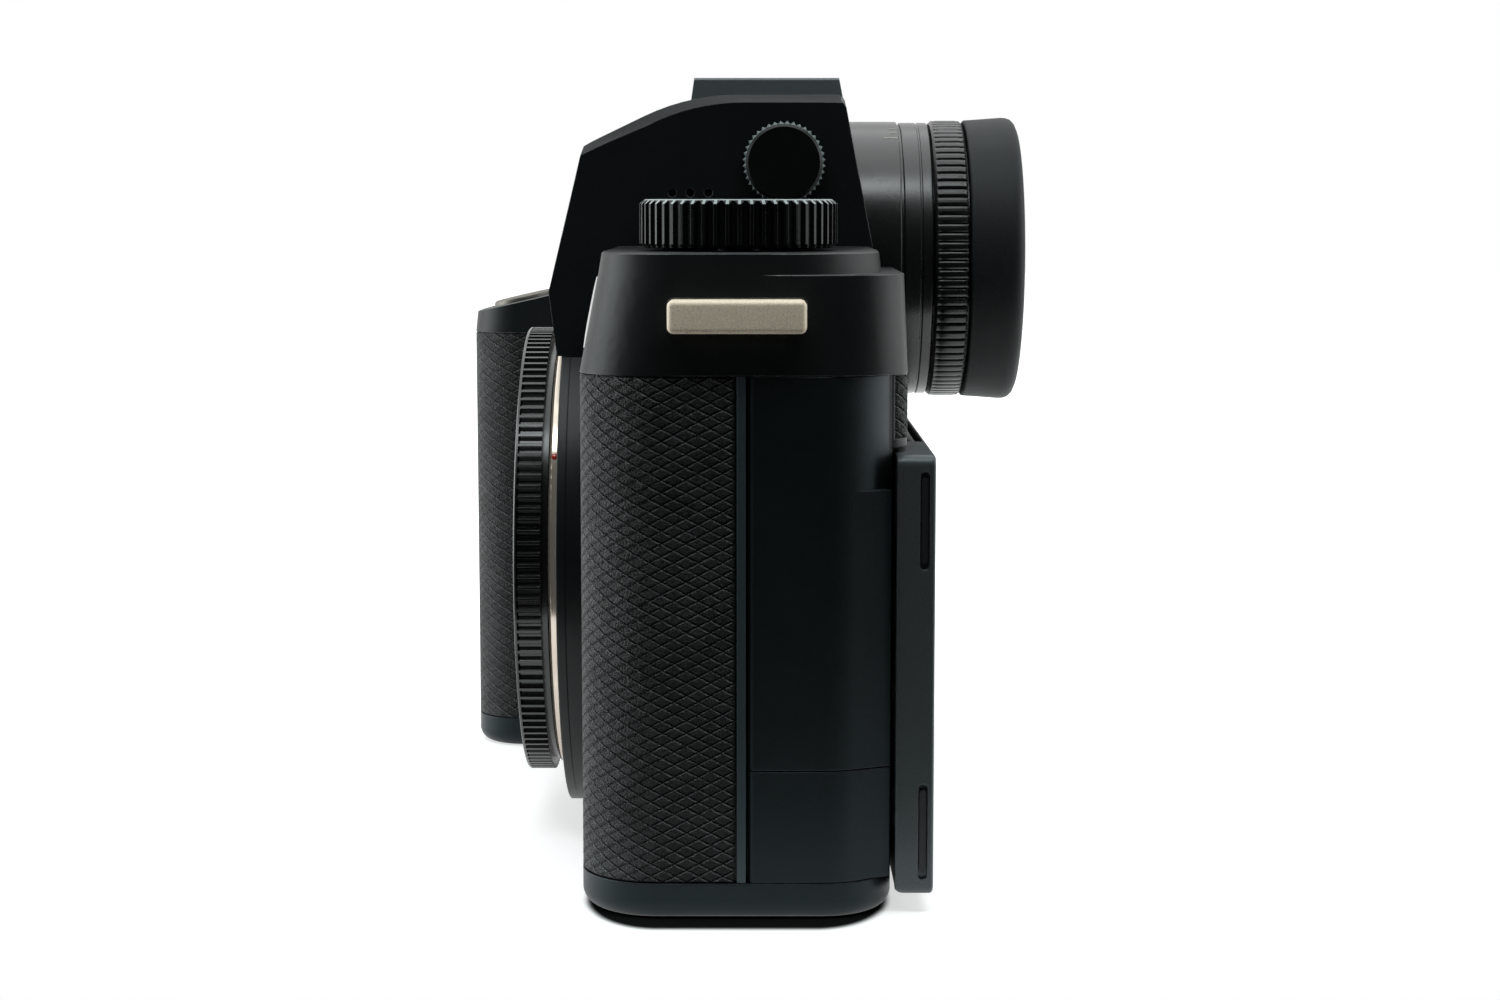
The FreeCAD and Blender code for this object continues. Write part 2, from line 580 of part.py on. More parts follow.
def front_outline(inset, end_y="seam_y"):
    """Front casing from one side, round the body front and the grip, to the other side."""
    return [
        (f"side_x - ({inset})", end_y),
        (f"side_x - ({inset})", f"front_y + ({inset})", f"corner - ({inset})"),
        (f"root_x - ({inset})", f"front_y + ({inset})", f"root_corner + ({inset})"),
        (f"grip_in_x - ({inset})", f"grip_y + ({inset})", f"grip_in_corner - ({inset})"),
        (f"grip_x + ({inset})", f"grip_y + ({inset})", f"grip_corner - ({inset})"),
        (f"grip_x + ({inset})", end_y),
    ]


def back_outline(inset, back="back_y", start_y="seam_y"):
    """Rear casing from one side, round the back, to the other side."""
    return [
        (f"side_x - ({inset})", start_y),
        (f"side_x - ({inset})", f"{back} - ({inset})", f"back_corner - ({inset})"),
        (f"grip_x + ({inset})", f"{back} - ({inset})", f"thumb_corner - ({inset})"),
        (f"grip_x + ({inset})", start_y),
    ]


def whole_outline(inset):
    return front_outline(inset)[1:5] + back_outline(inset)[2:0:-1]


def mount_point(radius, angle="pin_angle"):
    """A place round the lens axis, as X and Z expressions."""
    return f"({radius}) * cos({angle} * 1deg)", f"lens_z + ({radius}) * sin({angle} * 1deg)"


# Casings

def make_base_plate():
    """Cast base plate: a shallow tray with the battery mouth and the tripod boss."""
    body = new_body("base_plate")
    add(body, "XY", "0", "base_z", whole_outline("0"))
    soften(body, "base_edge", lies_at("Z", "0"))
    cut(body, "XY", "skin", "base_z", whole_outline("skin"))
    add(body, "XY", "skin", "base_z", ("0", "0", "tripod_boss"))
    cut(body, "XY", "0", "base_z", ("0", "0", "tripod_insert"))
    gap = "battery_gap"
    mouth = rectangle(
        f"battery_left_x - {gap}", f"battery_right_x + {gap}",
        f"battery_front_y - {gap}", f"battery_back_y + {gap}", f"battery_corner + {gap}",
    )
    cut(body, "XY", "0", "base_z", mouth)
    cut(body, "XY", "0", "lever_thick + 0.4", ("lever_x", "lever_y", "lever_radius + run_gap"))
    cut(body, "XY", "lever_thick + 0.4", "skin", ("lever_x", "lever_y", "1.5 + shaft_gap"))


def make_tripod_socket():
    """Steel tripod insert whose flange sits on the boss inside the plate."""
    body = new_body("tripod_socket")
    turn_profile(body, [
        ("0", "0"), ("tripod_insert", "0"), ("tripod_insert", "base_z"), ("tripod_boss", "base_z"),
        ("tripod_boss", "base_z + 1.5"), ("0", "base_z + 1.5"),
    ])
    cut(body, "XY", "0", "tripod_deep", ("0", "0", "tripod_radius"))


def make_front_casing():
    """Front casting: walls under the leather, the grip core and the round boss for the lens mount."""
    body = new_body("front_casing")
    add(body, "XY", "base_z", "seam_z", front_outline("leather"))
    cut(body, "XY", "base_z", "seam_z", front_outline("wall", "seam_y + 1"))
    add(body, "XZ", "tower_y", "front_y + wall", ("0", "lens_z", "tower_radius"))
    soften(body, "tower_edge", lies_at("Y", "tower_y"), "Chamfer")
    cut(body, "XZ", "tower_y", "front_y + wall", ("0", "lens_z", "throat_radius"))
    cut(body, "XZ", "tower_y", "tower_y + ring_seat", ("0", "lens_z", "ring_radius + fit_gap"))
    cut(body, "XY", "seam_z", "seam_z + 10", rectangle("-40", "40", "tower_y - 1", "front_y + wall + 1"))
    cut(body, "XY", "0", "base_z", rectangle("-40", "40", "front_y", "front_y + wall + 1"))
    x, z = mount_point("release_circle")
    add(body, "XZ", "front_y - 1.4", "front_y + wall", (x, z, "release_radius + 1.6"))
    cut(body, "XZ", "front_y - 1.4", "front_y + wall", (x, z, "release_radius + run_gap"))
    x, z = mount_point("screw_circle")
    cut(body, "XZ", "tower_y", "front_y + wall", (x, z, "pin_radius + run_gap"))


def make_leather_front():
    """Leather from the boss round the front corner to the rib on the socket side."""
    body = new_body("leather_front")
    inner = [
        (f"side_x - leather", "rib_front_y - 0.25"),
        (f"side_x - leather", "front_y + leather", "corner - leather"),
        ("0", "front_y + leather"),
        ("0", "front_y"),
        ("side_x", "front_y", "corner"),
        ("side_x", "rib_front_y - 0.25"),
    ]
    add(body, "XY", "base_z + 0.15", "seam_z - 0.15", inner)
    cut(body, "XZ", "front_y", "front_y + leather", ("0", "lens_z", "tower_radius + 0.2"))


def make_leather_grip():
    """Leather round the grip, from the boss to the rib on the grip side."""
    body = new_body("leather_grip")
    outer = front_outline("0", "rib_front_y - 0.25")[2:]
    inner = front_outline("leather", "rib_front_y - 0.25")[2:]
    loop = [("-30", "front_y")] + outer + inner[::-1] + [("-30", "front_y + leather")]
    add(body, "XY", "base_z + 0.15", "seam_z - 0.15", loop)
    cut(body, "XZ", "front_y", "front_y + leather", ("0", "lens_z", "tower_radius + 0.2"))
    x, z = mount_point("release_circle")
    cut(body, "XZ", "front_y", "front_y + leather", (x, z, "release_radius + 1.8"))


def door_ring(outer, inner, start_y="door_front_y"):
    """A band that follows the outline round the back corner of the socket side."""
    return [
        (f"side_x - ({outer})", start_y),
        (f"side_x - ({outer})", f"back_y - ({outer})", f"back_corner - ({outer})"),
        ("side_x - back_corner - 1", f"back_y - ({outer})"),
        ("side_x - back_corner - 1", f"back_y - ({inner})"),
        (f"side_x - ({inner})", f"back_y - ({inner})", f"back_corner - ({inner})"),
        (f"side_x - ({inner})", start_y),
    ]


def brow_patch(outer, inner, shorter):
    """The leather on the brow: from beside the eyepiece along the back and round the corner."""
    def point(inset, share):
        angle = f"((90 - (90 - patch_turn - 20 * {shorter}) * {share}) * 1deg)"
        radius = f"(brow_corner - ({inset}))"
        return (f"door_wrap_x - door_gap - brow_corner + {radius} * cos({angle})", f"brow_y - brow_corner + {radius} * sin({angle})")

    shares = (0, 0.25, 0.5, 0.75, 1)
    start = f"patch_left_x + {shorter}"
    rim = [(start, f"brow_y - ({outer})")] + [point(outer, share) for share in shares]
    return rim + [point(inner, share) for share in reversed(shares)] + [(start, f"brow_y - ({inner})")]


def make_rear_casing():
    """Rear casting: back wall, brow over the screen, recesses for the doors, key holes and hinge ears."""
    body = new_body("rear_casing")
    add(body, "XY", "base_z", "seam_z", back_outline("0"))
    add(body, "XY", "brow_z", "seam_z", [
        ("door_wrap_x - door_gap", "seam_y"), ("door_wrap_x - door_gap", "brow_y", "brow_corner"),
        ("grip_x", "brow_y", "thumb_corner"), ("grip_x", "seam_y"),
    ])
    cut(body, "XY", "base_z", "seam_z", back_outline("rear_wall", "back_y", "seam_y - 1"))
    cut(body, "XY", "base_z", "seam_z", rectangle("door_wrap_x - door_gap", "side_x + 1", "rib_back_y", "brow_y + 1"))
    add(body, "XY", "base_z", "seam_z", door_ring("door_recess", "door_recess + recess_wall", "seam_y"))
    cut(body, "XY", "base_z", "seam_z", rectangle("side_x - leather", "side_x + 1", "seam_y", "rib_back_y"))
    cut(body, "XY", "base_z", "seam_z", rectangle("grip_x - 1", "grip_x + leather", "seam_y", "rib_back_y"))
    cut(body, "YZ", "side_x - 8", "side_x", rectangle("door_front_y + 2.7", "door_front_y + 11.9", "base_z + 4.3", "seam_z - 16.1", "2"))
    add(body, "XY", "card_low_z - 2", "card_high_z + 2",
        rectangle("grip_x + rear_wall - 0.5", "grip_x + door_recess + 1.5", "card_front_y - 1", "card_back_y + 1"))
    cut(body, "XY", "card_low_z - door_gap", "card_high_z + door_gap",
        rectangle("grip_x - 1", "grip_x + door_recess", "card_front_y - door_gap", "card_back_y + door_gap"))
    cut(body, "YZ", "grip_x", "grip_x + 5",
        rectangle("card_front_y + 2.2", "card_back_y - 1.2", "card_low_z + 2.5", "card_high_z - 2.5", "1.5"))
    keys = [("key_x", f"key_low_z + {row} * key_pitch", "key_radius + run_gap") for row in range(3)]
    cut(body, "XZ", "back_y - rear_wall", "back_y + 1", *keys, ("rear_dial_x", "rear_dial_z", "shaft_radius + shaft_gap"))
    cut(body, "XZ", "back_y - rear_wall", "brow_y + 1", ("stick_x", "stick_z", "stick_hole"))
    cut(body, "XZ", "barrel_in_y", "brow_y + 1", ("0", "eye_z", "barrel_radius + fit_gap"))
    cut(body, "XY", "brow_z + 1.2", "seam_z - 0.4", brow_patch("-1", "0.5", "0"))
    for low, high in (("arm_left_x - ear_thick - run_gap", "arm_left_x - run_gap"),
                      ("arm_right_x + run_gap", "arm_right_x + ear_thick + run_gap")):
        ear = [
            ("back_y - 1", "base_z + 0.2"), ("back_y + 0.1", "base_z + 0.2"),
            ("back_y + 0.1", "low_pivot_z - knuckle"), ("low_pivot_y + knuckle", "low_pivot_z - knuckle", "0.9"),
            ("low_pivot_y + knuckle", "low_pivot_z + knuckle", "0.9"), ("back_y - 1", "low_pivot_z + 3.6"),
        ]
        add(body, "YZ", low, high, ear)
        cut(body, "YZ", f"{low} - 0.1", f"{high} + 0.1", ("low_pivot_y", "low_pivot_z", "pivot_pin + shaft_gap"))


def cover_outline(side, front, back):
    """Outline of the top cover, set in by separate amounts at the sides, the front and the back."""
    return [
        (f"side_x - ({side})", f"front_y + ({front})", "corner"),
        (f"root_x - ({side})", f"front_y + ({front})", "root_corner"),
        (f"grip_in_x - ({side})", f"grip_y + ({side})", "grip_in_corner"),
        (f"grip_x + ({side})", f"grip_y + ({side})", "grip_corner"),
        (f"grip_x + ({side})", f"brow_y - ({back})", "thumb_corner"),
        (f"side_x - ({side})", f"brow_y - ({back})", "back_corner"),
    ]


def shoulder_outline(side, front, back):
    """Outline of the raised deck on the socket side."""
    return [
        ("hump_side - 3", f"front_y + ({front})"),
        (f"side_x - ({side})", f"front_y + ({front})", "corner"),
        (f"side_x - ({side})", f"deck_back_y - ({back})", "deck_corner"),
        ("hump_side - 3", f"deck_back_y - ({back})"),
    ]


def hump_profile(inset):
    """The viewfinder housing seen from the side."""
    return [
        (f"hump_foot_y + ({inset})", "seam_z"),
        (f"hump_nose_y + ({inset})", "hump_nose_z", "1.5"),
        (f"hump_brow_y + ({inset})", f"hump_brow_z - ({inset})", "5"),
        (f"hump_crown_y + ({inset}) / 2", f"hump_crown_z - ({inset})", "30"),
        (f"hump_tail_y - ({inset})", f"hump_crown_z - ({inset})", "1.2"),
        (f"hump_tail_y + hump_tail_long - ({inset})", "deck_z"),
        (f"hump_tail_y + hump_tail_long + 0.3 - ({inset})", "seam_z"),
    ]


def lug_outline(grow):
    """Rounded outline of a strap lug, seen from the side."""
    return rectangle(
        f"lug_y - lug_half - {grow}", f"lug_y + lug_half + {grow}",
        f"lug_z - lug_tall / 2 - {grow}", f"lug_z + lug_tall / 2 + {grow}", "lug_corner",
    )


def make_top_cover():
    """Top casting: both decks, the grip's slope and the viewfinder housing, with every opening in them."""
    body = new_body("top_cover")
    loft(
        body,
        "XY",
        ("seam_z", cover_outline("0", "0", "0")),
        ("ledge_z", cover_outline("draft", "front_lean", "back_lean")),
    )
    rise = "((deck_z - top_edge - seam_z) / (ledge_z - seam_z))"
    side, front = f"draft * {rise}", f"front_lean * {rise}"
    loft(
        body,
        "XY",
        ("ledge_z", shoulder_outline("draft", "front_lean", "0")),
        ("deck_z - top_edge", shoulder_outline(side, front, "0.3")),
        ("deck_z", shoulder_outline(f"{side} + top_edge", f"{front} + top_edge", "0.3 + top_edge")),
    )
    cut(body, "YZ", "grip_x - 1", "-hump_side - 1", [
        ("grip_y - 3", slope_z("grip_y - 3")), ("grip_slope_end_y", slope_z("grip_slope_end_y")),
        ("grip_slope_end_y + 3.5", "ledge_z"), ("grip_slope_end_y + 3.5", "ledge_z + 3"), ("grip_y - 3", "ledge_z + 3"),
    ])
    loft(
        body,
        "YZ",
        ("-hump_side", hump_profile("hump_chamfer")),
        ("-hump_side + hump_chamfer", hump_profile("0")),
        ("hump_side - hump_chamfer", hump_profile("0")),
        ("hump_side", hump_profile("hump_chamfer")),
    )
    cut(body, "XY", "seam_z", "ledge_z - skin", [
        ("side_x - draft - skin", "front_y + front_lean + skin", "corner - skin"),
        ("grip_x + draft + skin", "grip_slope_end_y + 4"),
        ("grip_x + draft + skin", "brow_y - back_lean - skin", "thumb_corner - skin"),
        ("side_x - draft - skin", "brow_y - back_lean - skin", "back_corner - skin"),
    ])
    cut(body, "YZ", "-hump_side + hump_wall", "hump_side - hump_wall", hump_profile("hump_wall"))
    openings_in_top_cover(body)


def openings_in_top_cover(body):
    """Seats and holes for the dials, keys, knob, shoe, lugs, eyepiece and microphones."""
    low, high = "ledge_z - skin - 1", "deck_z + 1"
    shaft = "shaft_radius + shaft_gap"
    dials = [("dial_x", "dial_y", shaft), ("thumb_dial_x", "thumb_dial_y", shaft), ("mode_dial_x", "mode_dial_y", shaft)]
    keys = [(x, y, "deck_key_radius + run_gap") for x, y in DECK_KEYS]
    cut(body, "XY", low, high, *dials, *keys)
    cut(body, "XY", "hump_crown_z - shoe_sunk", "hump_crown_z + 1",
        rectangle("-shoe_half - fit_gap", "shoe_half + fit_gap", "shoe_front_y - fit_gap", "shoe_back_y + 1"))
    cut(body, "XZ", "barrel_in_y", "brow_y + 1", ("0", "eye_z", "barrel_radius + fit_gap"))
    cut(body, "XZ", "hump_tail_y - 4", "barrel_in_y + 0.5", ("0", "eye_z", "eye_bore + 0.5"))
    cut(body, "YZ", "hump_side - 3", "hump_side + 1", ("knob_y", "knob_z", "knob_shaft + shaft_gap"))
    microphones = [(f"knob_y - {back}", "microphone_z", "0.6") for back in (15.5, 13, 10.5)]
    cut(body, "YZ", "hump_side - 1", "hump_side + 1", *microphones)
    cut(body, "YZ", "-hump_side - 1", "-hump_side + 1", *microphones)
    cut(body, "XZ", "cap_front_y", "tower_y + ring_seat", ("0", "lens_z", "ring_radius + run_gap"))
    cut(body, "YZ", "side_x - lug_seat", "side_x + 1", lug_outline("0"))
    cut(body, "YZ", "grip_x - 1", "grip_x + lug_seat", lug_outline("0"))
    cut(body, "YZ", "window_left_x - fit_gap", "window_right_x + fit_gap", window_profile("0.1", "3"))
    wheel = ("wheel_y", WHEEL_Z, "wheel_radius + run_gap")
    cut(body, "YZ", "wheel_x - wheel_wide / 2 - run_gap", "wheel_x + wheel_wide / 2 + run_gap", wheel)
    axle = ("wheel_y", WHEEL_Z, "axle_radius + shaft_gap")
    cut(body, "YZ", "wheel_x - wheel_wide / 2 - axle_reach - 0.2", "wheel_x + wheel_wide / 2 + axle_reach + 0.2", axle)
    cut(body, "SLOPE", "-shutter_sunk - 1.6", "1", ("wheel_x", slope_s("shutter_y"), "shutter_radius + run_gap"))
    cut(body, "SLOPE", "-12", "1", ("wheel_x", slope_s("shutter_y"), "button_stem + shaft_gap"))


DECK_KEYS = [(f"grip_x + {7 + 8.5 * k}", f"front_y + {12.25 - k}") for k in range(3)]
WHEEL_Z = f"({slope_z('wheel_y')} + wheel_proud - wheel_radius)"


def window_profile(inset, proud):
    """The sloping front window of the socket side shoulder, seen from the side."""
    lean = "front_lean / (ledge_z - seam_z)"
    low, high = f"window_low_z - {inset}", f"window_high_z + {inset}"
    return [
        (f"front_y + ({low} - seam_z) * {lean} - {proud}", low),
        (f"front_y + ({high} - seam_z) * {lean} - {proud}", high),
        (f"front_y + ({high} - seam_z) * {lean} + 1.4", high),
        (f"front_y + ({low} - seam_z) * {lean} + 1.4", low),
    ]


def make_trims():
    """Ribs between leather and doors, the front window, the brow patch, the thumb leather and the lugs."""
    for name, low, high in (("rib_socket_side", "side_x - leather", "side_x"), ("rib_grip_side", "grip_x", "grip_x + leather")):
        body = new_body(name)
        add(body, "XY", "base_z + 0.15", "seam_z - 0.15", rectangle(low, high, "rib_front_y", "rib_back_y"))
    body = new_body("front_window")
    add(body, "YZ", "window_left_x", "window_right_x", window_profile("0", "0.2"))
    body = new_body("leather_brow")
    add(body, "XY", "brow_z + 1.3", "seam_z - 0.5", brow_patch("-0.1", "0.5", "0.1"))
    body = new_body("leather_thumb")
    add(body, "XZ", "back_y", "back_y + leather", rectangle("grip_x + 2", "grip_x + 19", "brow_z - 12.5", "brow_z - 0.8", "2.5"))
    for name, side in (("strap_lug_socket_side", 1), ("strap_lug_grip_side", -1)):
        body = new_body(name)
        face = "side_x" if side > 0 else "grip_x"
        inner, outer = f"{face} - lug_seat + fit_gap", f"{face} + lug_reach"
        if side < 0:
            inner, outer = f"{face} - lug_reach", f"{face} + lug_seat - fit_gap"
        add(body, "YZ", inner, outer, lug_outline("-0.1"))
        hollow = (f"{face} + 0.1", f"{face} + lug_reach - lug_bar")
        if side < 0:
            hollow = (f"{face} - lug_reach + lug_bar", f"{face} - 0.1")
        cut(body, "XY", "lug_z - lug_tall", "lug_z + lug_tall", rectangle(
            hollow[0], hollow[1], "lug_y - lug_half + lug_post", "lug_y + lug_half - lug_post", "0.7"))
        soften(body, "0.7", lies_at("X", outer if side > 0 else inner))


# Lens mount side

def sector(inner, outer, half):
    """A wedge of a ring about the local X axis, between two radii, as wide as twice the half angle."""
    rim = [(f"({outer}) * cos({half} * {k} * 1deg)", f"({outer}) * sin({half} * {k} * 1deg)") for k in (-1, -0.6, -0.2, 0.2, 0.6, 1)]
    hub = [(f"({inner}) * cos({half} * {k} * 1deg)", f"({inner}) * sin({half} * {k} * 1deg)") for k in (1, -1)]
    return rim + hub


def make_mount():
    """Mount ring with four bayonet tabs, its screws, the lock pin and the release button."""
    seat, face = "(-tower_y - ring_seat)", "(-flange_y)"
    body = new_body("mount_ring")
    turn_profile(body, [
        ("tab_radius", f"{seat} - tab_thick"), ("ring_bore + 0.45", f"{seat} - tab_thick"), ("ring_bore + 0.45", seat), ("ring_radius", seat),
        ("ring_radius", face), ("ring_bore", face), ("ring_bore", f"{face} - tab_front"), ("tab_radius", f"{face} - tab_front"),
    ])
    soften(body, "0.35", circle_at(face, "ring_radius"), "Chamfer")
    gap = cut(body, "XY", f"{seat} - tab_thick - 0.1", f"{face} - tab_front + 0.2", sector("tab_radius - 3", "ring_bore", "(tab_gap / 2)"))
    repeat_round(body, gap, "tab_count")
    head = cut(body, "XY", f"{face} - screw_thick - 0.1", face, ("screw_circle", "0", "screw_head + 0.05"))
    repeat_round(body, head, "screw_count")
    pin_x, pin_z = "(screw_circle * cos(pin_angle * 1deg))", "(screw_circle * sin(pin_angle * 1deg))"
    cut(body, "XY", seat, face, (pin_x, pin_z, "pin_radius + fit_gap"))
    place(body, z="lens_z", turn=FACING_FRONT)

    places = []
    for k in range(6):
        turn = f"({k} * 360deg / screw_count)"
        places.append((f"screw_circle * cos({turn})", "flange_y + screw_thick + 0.05", f"lens_z + screw_circle * sin({turn})"))
    cylinders("mount_screws", places, "screw_head", "screw_thick", FACING_FRONT)

    body = new_body("lens_lock_pin")
    x, z = mount_point("screw_circle")
    add(body, "XZ", "flange_y - pin_proud", "front_y + wall + run_gap", (x, z, "pin_radius"))
    add(body, "XZ", "front_y + wall + run_gap", "front_y + wall + run_gap + 1.2", (x, z, "pin_radius + 1.6"))
    far_x, far_z = mount_point("release_circle")
    across, along = "2.2 * sin(pin_angle * 1deg)", "2.2 * cos(pin_angle * 1deg)"
    add(body, "XZ", "front_y + wall + run_gap", "front_y + wall + run_gap + 1.2", [
        (f"{x} + {across}", f"{z} - {along}"), (f"{far_x} + {across}", f"{far_z} - {along}"),
        (f"{far_x} - {across}", f"{far_z} + {along}"), (f"{x} - {across}", f"{z} + {along}"),
    ])
    body = new_body("lens_release_button")
    add(body, "XZ", "front_y - release_proud", "front_y + wall + run_gap", (far_x, far_z, "release_radius"))
    soften(body, "0.5", lies_at("Y", "front_y - release_proud"))

    body = new_body("body_cap")
    back = "(-flange_y + 0.15)"
    turn_profile(body, [
        ("0", back), ("cap_radius - 1.6", back), ("cap_radius - 1.6", "-cap_rib_y"), ("cap_radius", "-cap_rib_y"),
        ("cap_radius", "-cap_front_y - 0.5"), ("cap_radius - 0.5", "-cap_front_y"), ("cap_radius - 3.4", "-cap_front_y"),
        ("cap_radius - 3.8", "-cap_front_y - 0.4"), ("0", "-cap_front_y - 0.4"),
    ])
    half = "1.15"
    groove = cut(body, "XY", "-cap_rib_y", "-cap_front_y", [
        ("cap_radius - cap_groove", f"-({half}) / 4.6"), ("cap_radius + 1", f"-({half}) / 4.6"),
        ("cap_radius + 1", f"({half}) / 4.6"), ("cap_radius - cap_groove", f"({half}) / 4.6"),
    ])
    repeat_round(body, groove, "cap_ribs")
    turn_profile(body, [
        ("tab_radius - 2.2", f"{seat} - tab_thick"), ("tab_radius - 0.4", f"{seat} - tab_thick"), ("tab_radius - 0.4", f"{back} + 0.5"),
        ("tab_radius - 2.2", f"{back} + 0.5"),
    ])
    lug = add(body, "XY", f"{seat} - 0.6", f"{face} - tab_front - 0.3", sector("tab_radius - 1.2", "ring_bore - 0.4", "(tab_gap / 2 - 5)"))
    repeat_round(body, lug, "tab_count")
    cut(body, "XY", f"{back} - 0.1", f"{face} + pin_proud + 0.4", (pin_x, pin_z, "pin_radius + 0.5"))
    place(body, z="lens_z", turn=FACING_FRONT)


def cylinders(name, places, radius, length, turn=None):
    """A set of equal pins or screws that make one piece."""
    solids = []
    for x, y, z in places:
        solid = document.addObject("Part::Cylinder", name + "_one")
        solid.setExpression("Radius", bound(radius))
        solid.setExpression("Height", bound(length))
        if turn:
            solid.Placement = Placement(Vector(), Rotation(Vector(*turn[0]), turn[1]))
        for axis, text in (("x", x), ("y", y), ("z", z)):
            solid.setExpression(f"Placement.Base.{axis}", bound(text))
        solids.append(solid)
    joined = document.addObject("Part::MultiFuse", name)
    joined.Label = name
    joined.Shapes = solids
    document.recompute()
    return joined


# Viewfinder

def make_eyepiece():
    """Eyepiece barrel, its ribbed diopter ring, the rubber eyecup, the lens and the parts inside the housing."""
    body = new_body("eyepiece_barrel")
    turn_profile(body, [
        ("eye_bore - 1", "barrel_in_y"), ("barrel_radius", "barrel_in_y"), ("barrel_radius", "barrel_y"),
        ("collar_radius - 0.5", "barrel_y"), ("collar_radius - 0.5", "barrel_y + 0.3"), ("collar_radius", "barrel_y + 0.3"),
        ("collar_radius", "collar_y"), ("sleeve_radius", "collar_y"), ("sleeve_radius", "eye_ring_y + 2.4"),
        ("eye_bore", "eye_ring_y + 2.4"), ("eye_bore", "eye_ring_y - 2.6"), ("eye_bore - 1", "eye_ring_y - 2.6"),
    ])
    place(body, z="eye_z", turn=FACING_BACK)

    body = new_body("diopter_ring")
    low, high = "collar_y + 0.15", "eye_ring_y"
    inner = "sleeve_radius + shaft_gap"
    turn_profile(body, [
        (inner, low), ("eye_ring_radius - 0.4", low), ("eye_ring_radius", f"{low} + 0.4"),
        ("eye_ring_radius", f"{high} - 0.4"), ("eye_ring_radius - 0.4", high), (inner, high),
    ])
    groove = cut(body, "XY", low, high, [
        ("eye_ring_radius - 0.4", "-0.14"), ("eye_ring_radius + 1", "-0.34"), ("eye_ring_radius + 1", "0.34"), ("eye_ring_radius - 0.4", "0.14"),
    ])
    repeat_round(body, groove, "eye_ribs")
    place(body, z="eye_z", turn=FACING_BACK)

    body = new_body("eyecup")
    inner = "sleeve_radius + fit_gap"
    turn_profile(body, [
        (inner, "eye_ring_y + 0.3"), ("eyecup_radius - eyecup_flare", "eye_ring_y + 0.3"), ("eyecup_radius", "eyecup_y - 2.2"),
        ("eyecup_radius - 0.25", "eyecup_y - 1"), ("eyecup_radius - 1.2", "eyecup_y - 0.2"), ("eyecup_radius - 2.4", "eyecup_y"),
        ("eyecup_radius - 3.6", "eyecup_y - 0.5"), ("eye_bore + 1", "eye_ring_y + 3.6"), ("eye_bore + 1", "eye_ring_y + 2.5"),
        (inner, "eye_ring_y + 2.5"),
    ])
    place(body, z="eye_z", turn=FACING_BACK)

    body = new_body("eyepiece_lens")
    turn_profile(body, [
        ("0", "eye_ring_y - 2.5"), ("eye_bore - 0.1", "eye_ring_y - 2.5"), ("eye_bore - 0.1", "eye_ring_y - 0.4"),
        ("eye_bore - 4", "eye_ring_y + 0.7"), ("0", "eye_ring_y + 1.2"),
    ])
    place(body, z="eye_z", turn=FACING_BACK)

    body = new_body("finder_optics")
    add(body, "XZ", "-6", "barrel_in_y", ("0", "eye_z", "eye_bore + 0.2"))
    add(body, "XZ", "-9", "-6", rectangle("-9", "9", "eye_z - 7.5", "eye_z + 7.5"))


# Dials, keys and the shoe

def make_dial(name, x, y, base, radius, tall, grooves, depth, foot):
    """A grooved dial on its shaft, standing on a deck."""
    body = new_body(name)
    turn_profile(body, [
        ("0", "run_gap"), (f"{radius} - 1.1", "run_gap"), (radius, "run_gap + 1.1"), (radius, f"{tall} - 0.5"),
        (f"{radius} - 0.5", tall), (f"{radius} - 1.5", tall), (f"{radius} - 1.7", f"{tall} - 0.2"), ("0", f"{tall} - 0.2"),
    ])
    groove = cut(body, "XY", "run_gap + 0.6", tall, [
        (f"{radius} - {depth}", "0"), (f"{radius} + 0.4", f"-{depth} - 0.4"), (f"{radius} + 0.4", f"{depth} + 0.4"),
    ])
    repeat_round(body, groove, grooves)
    add(body, "XY", f"-({foot})", "run_gap + 0.1", ("0", "0", "shaft_radius"))
    place(body, x, y, base)


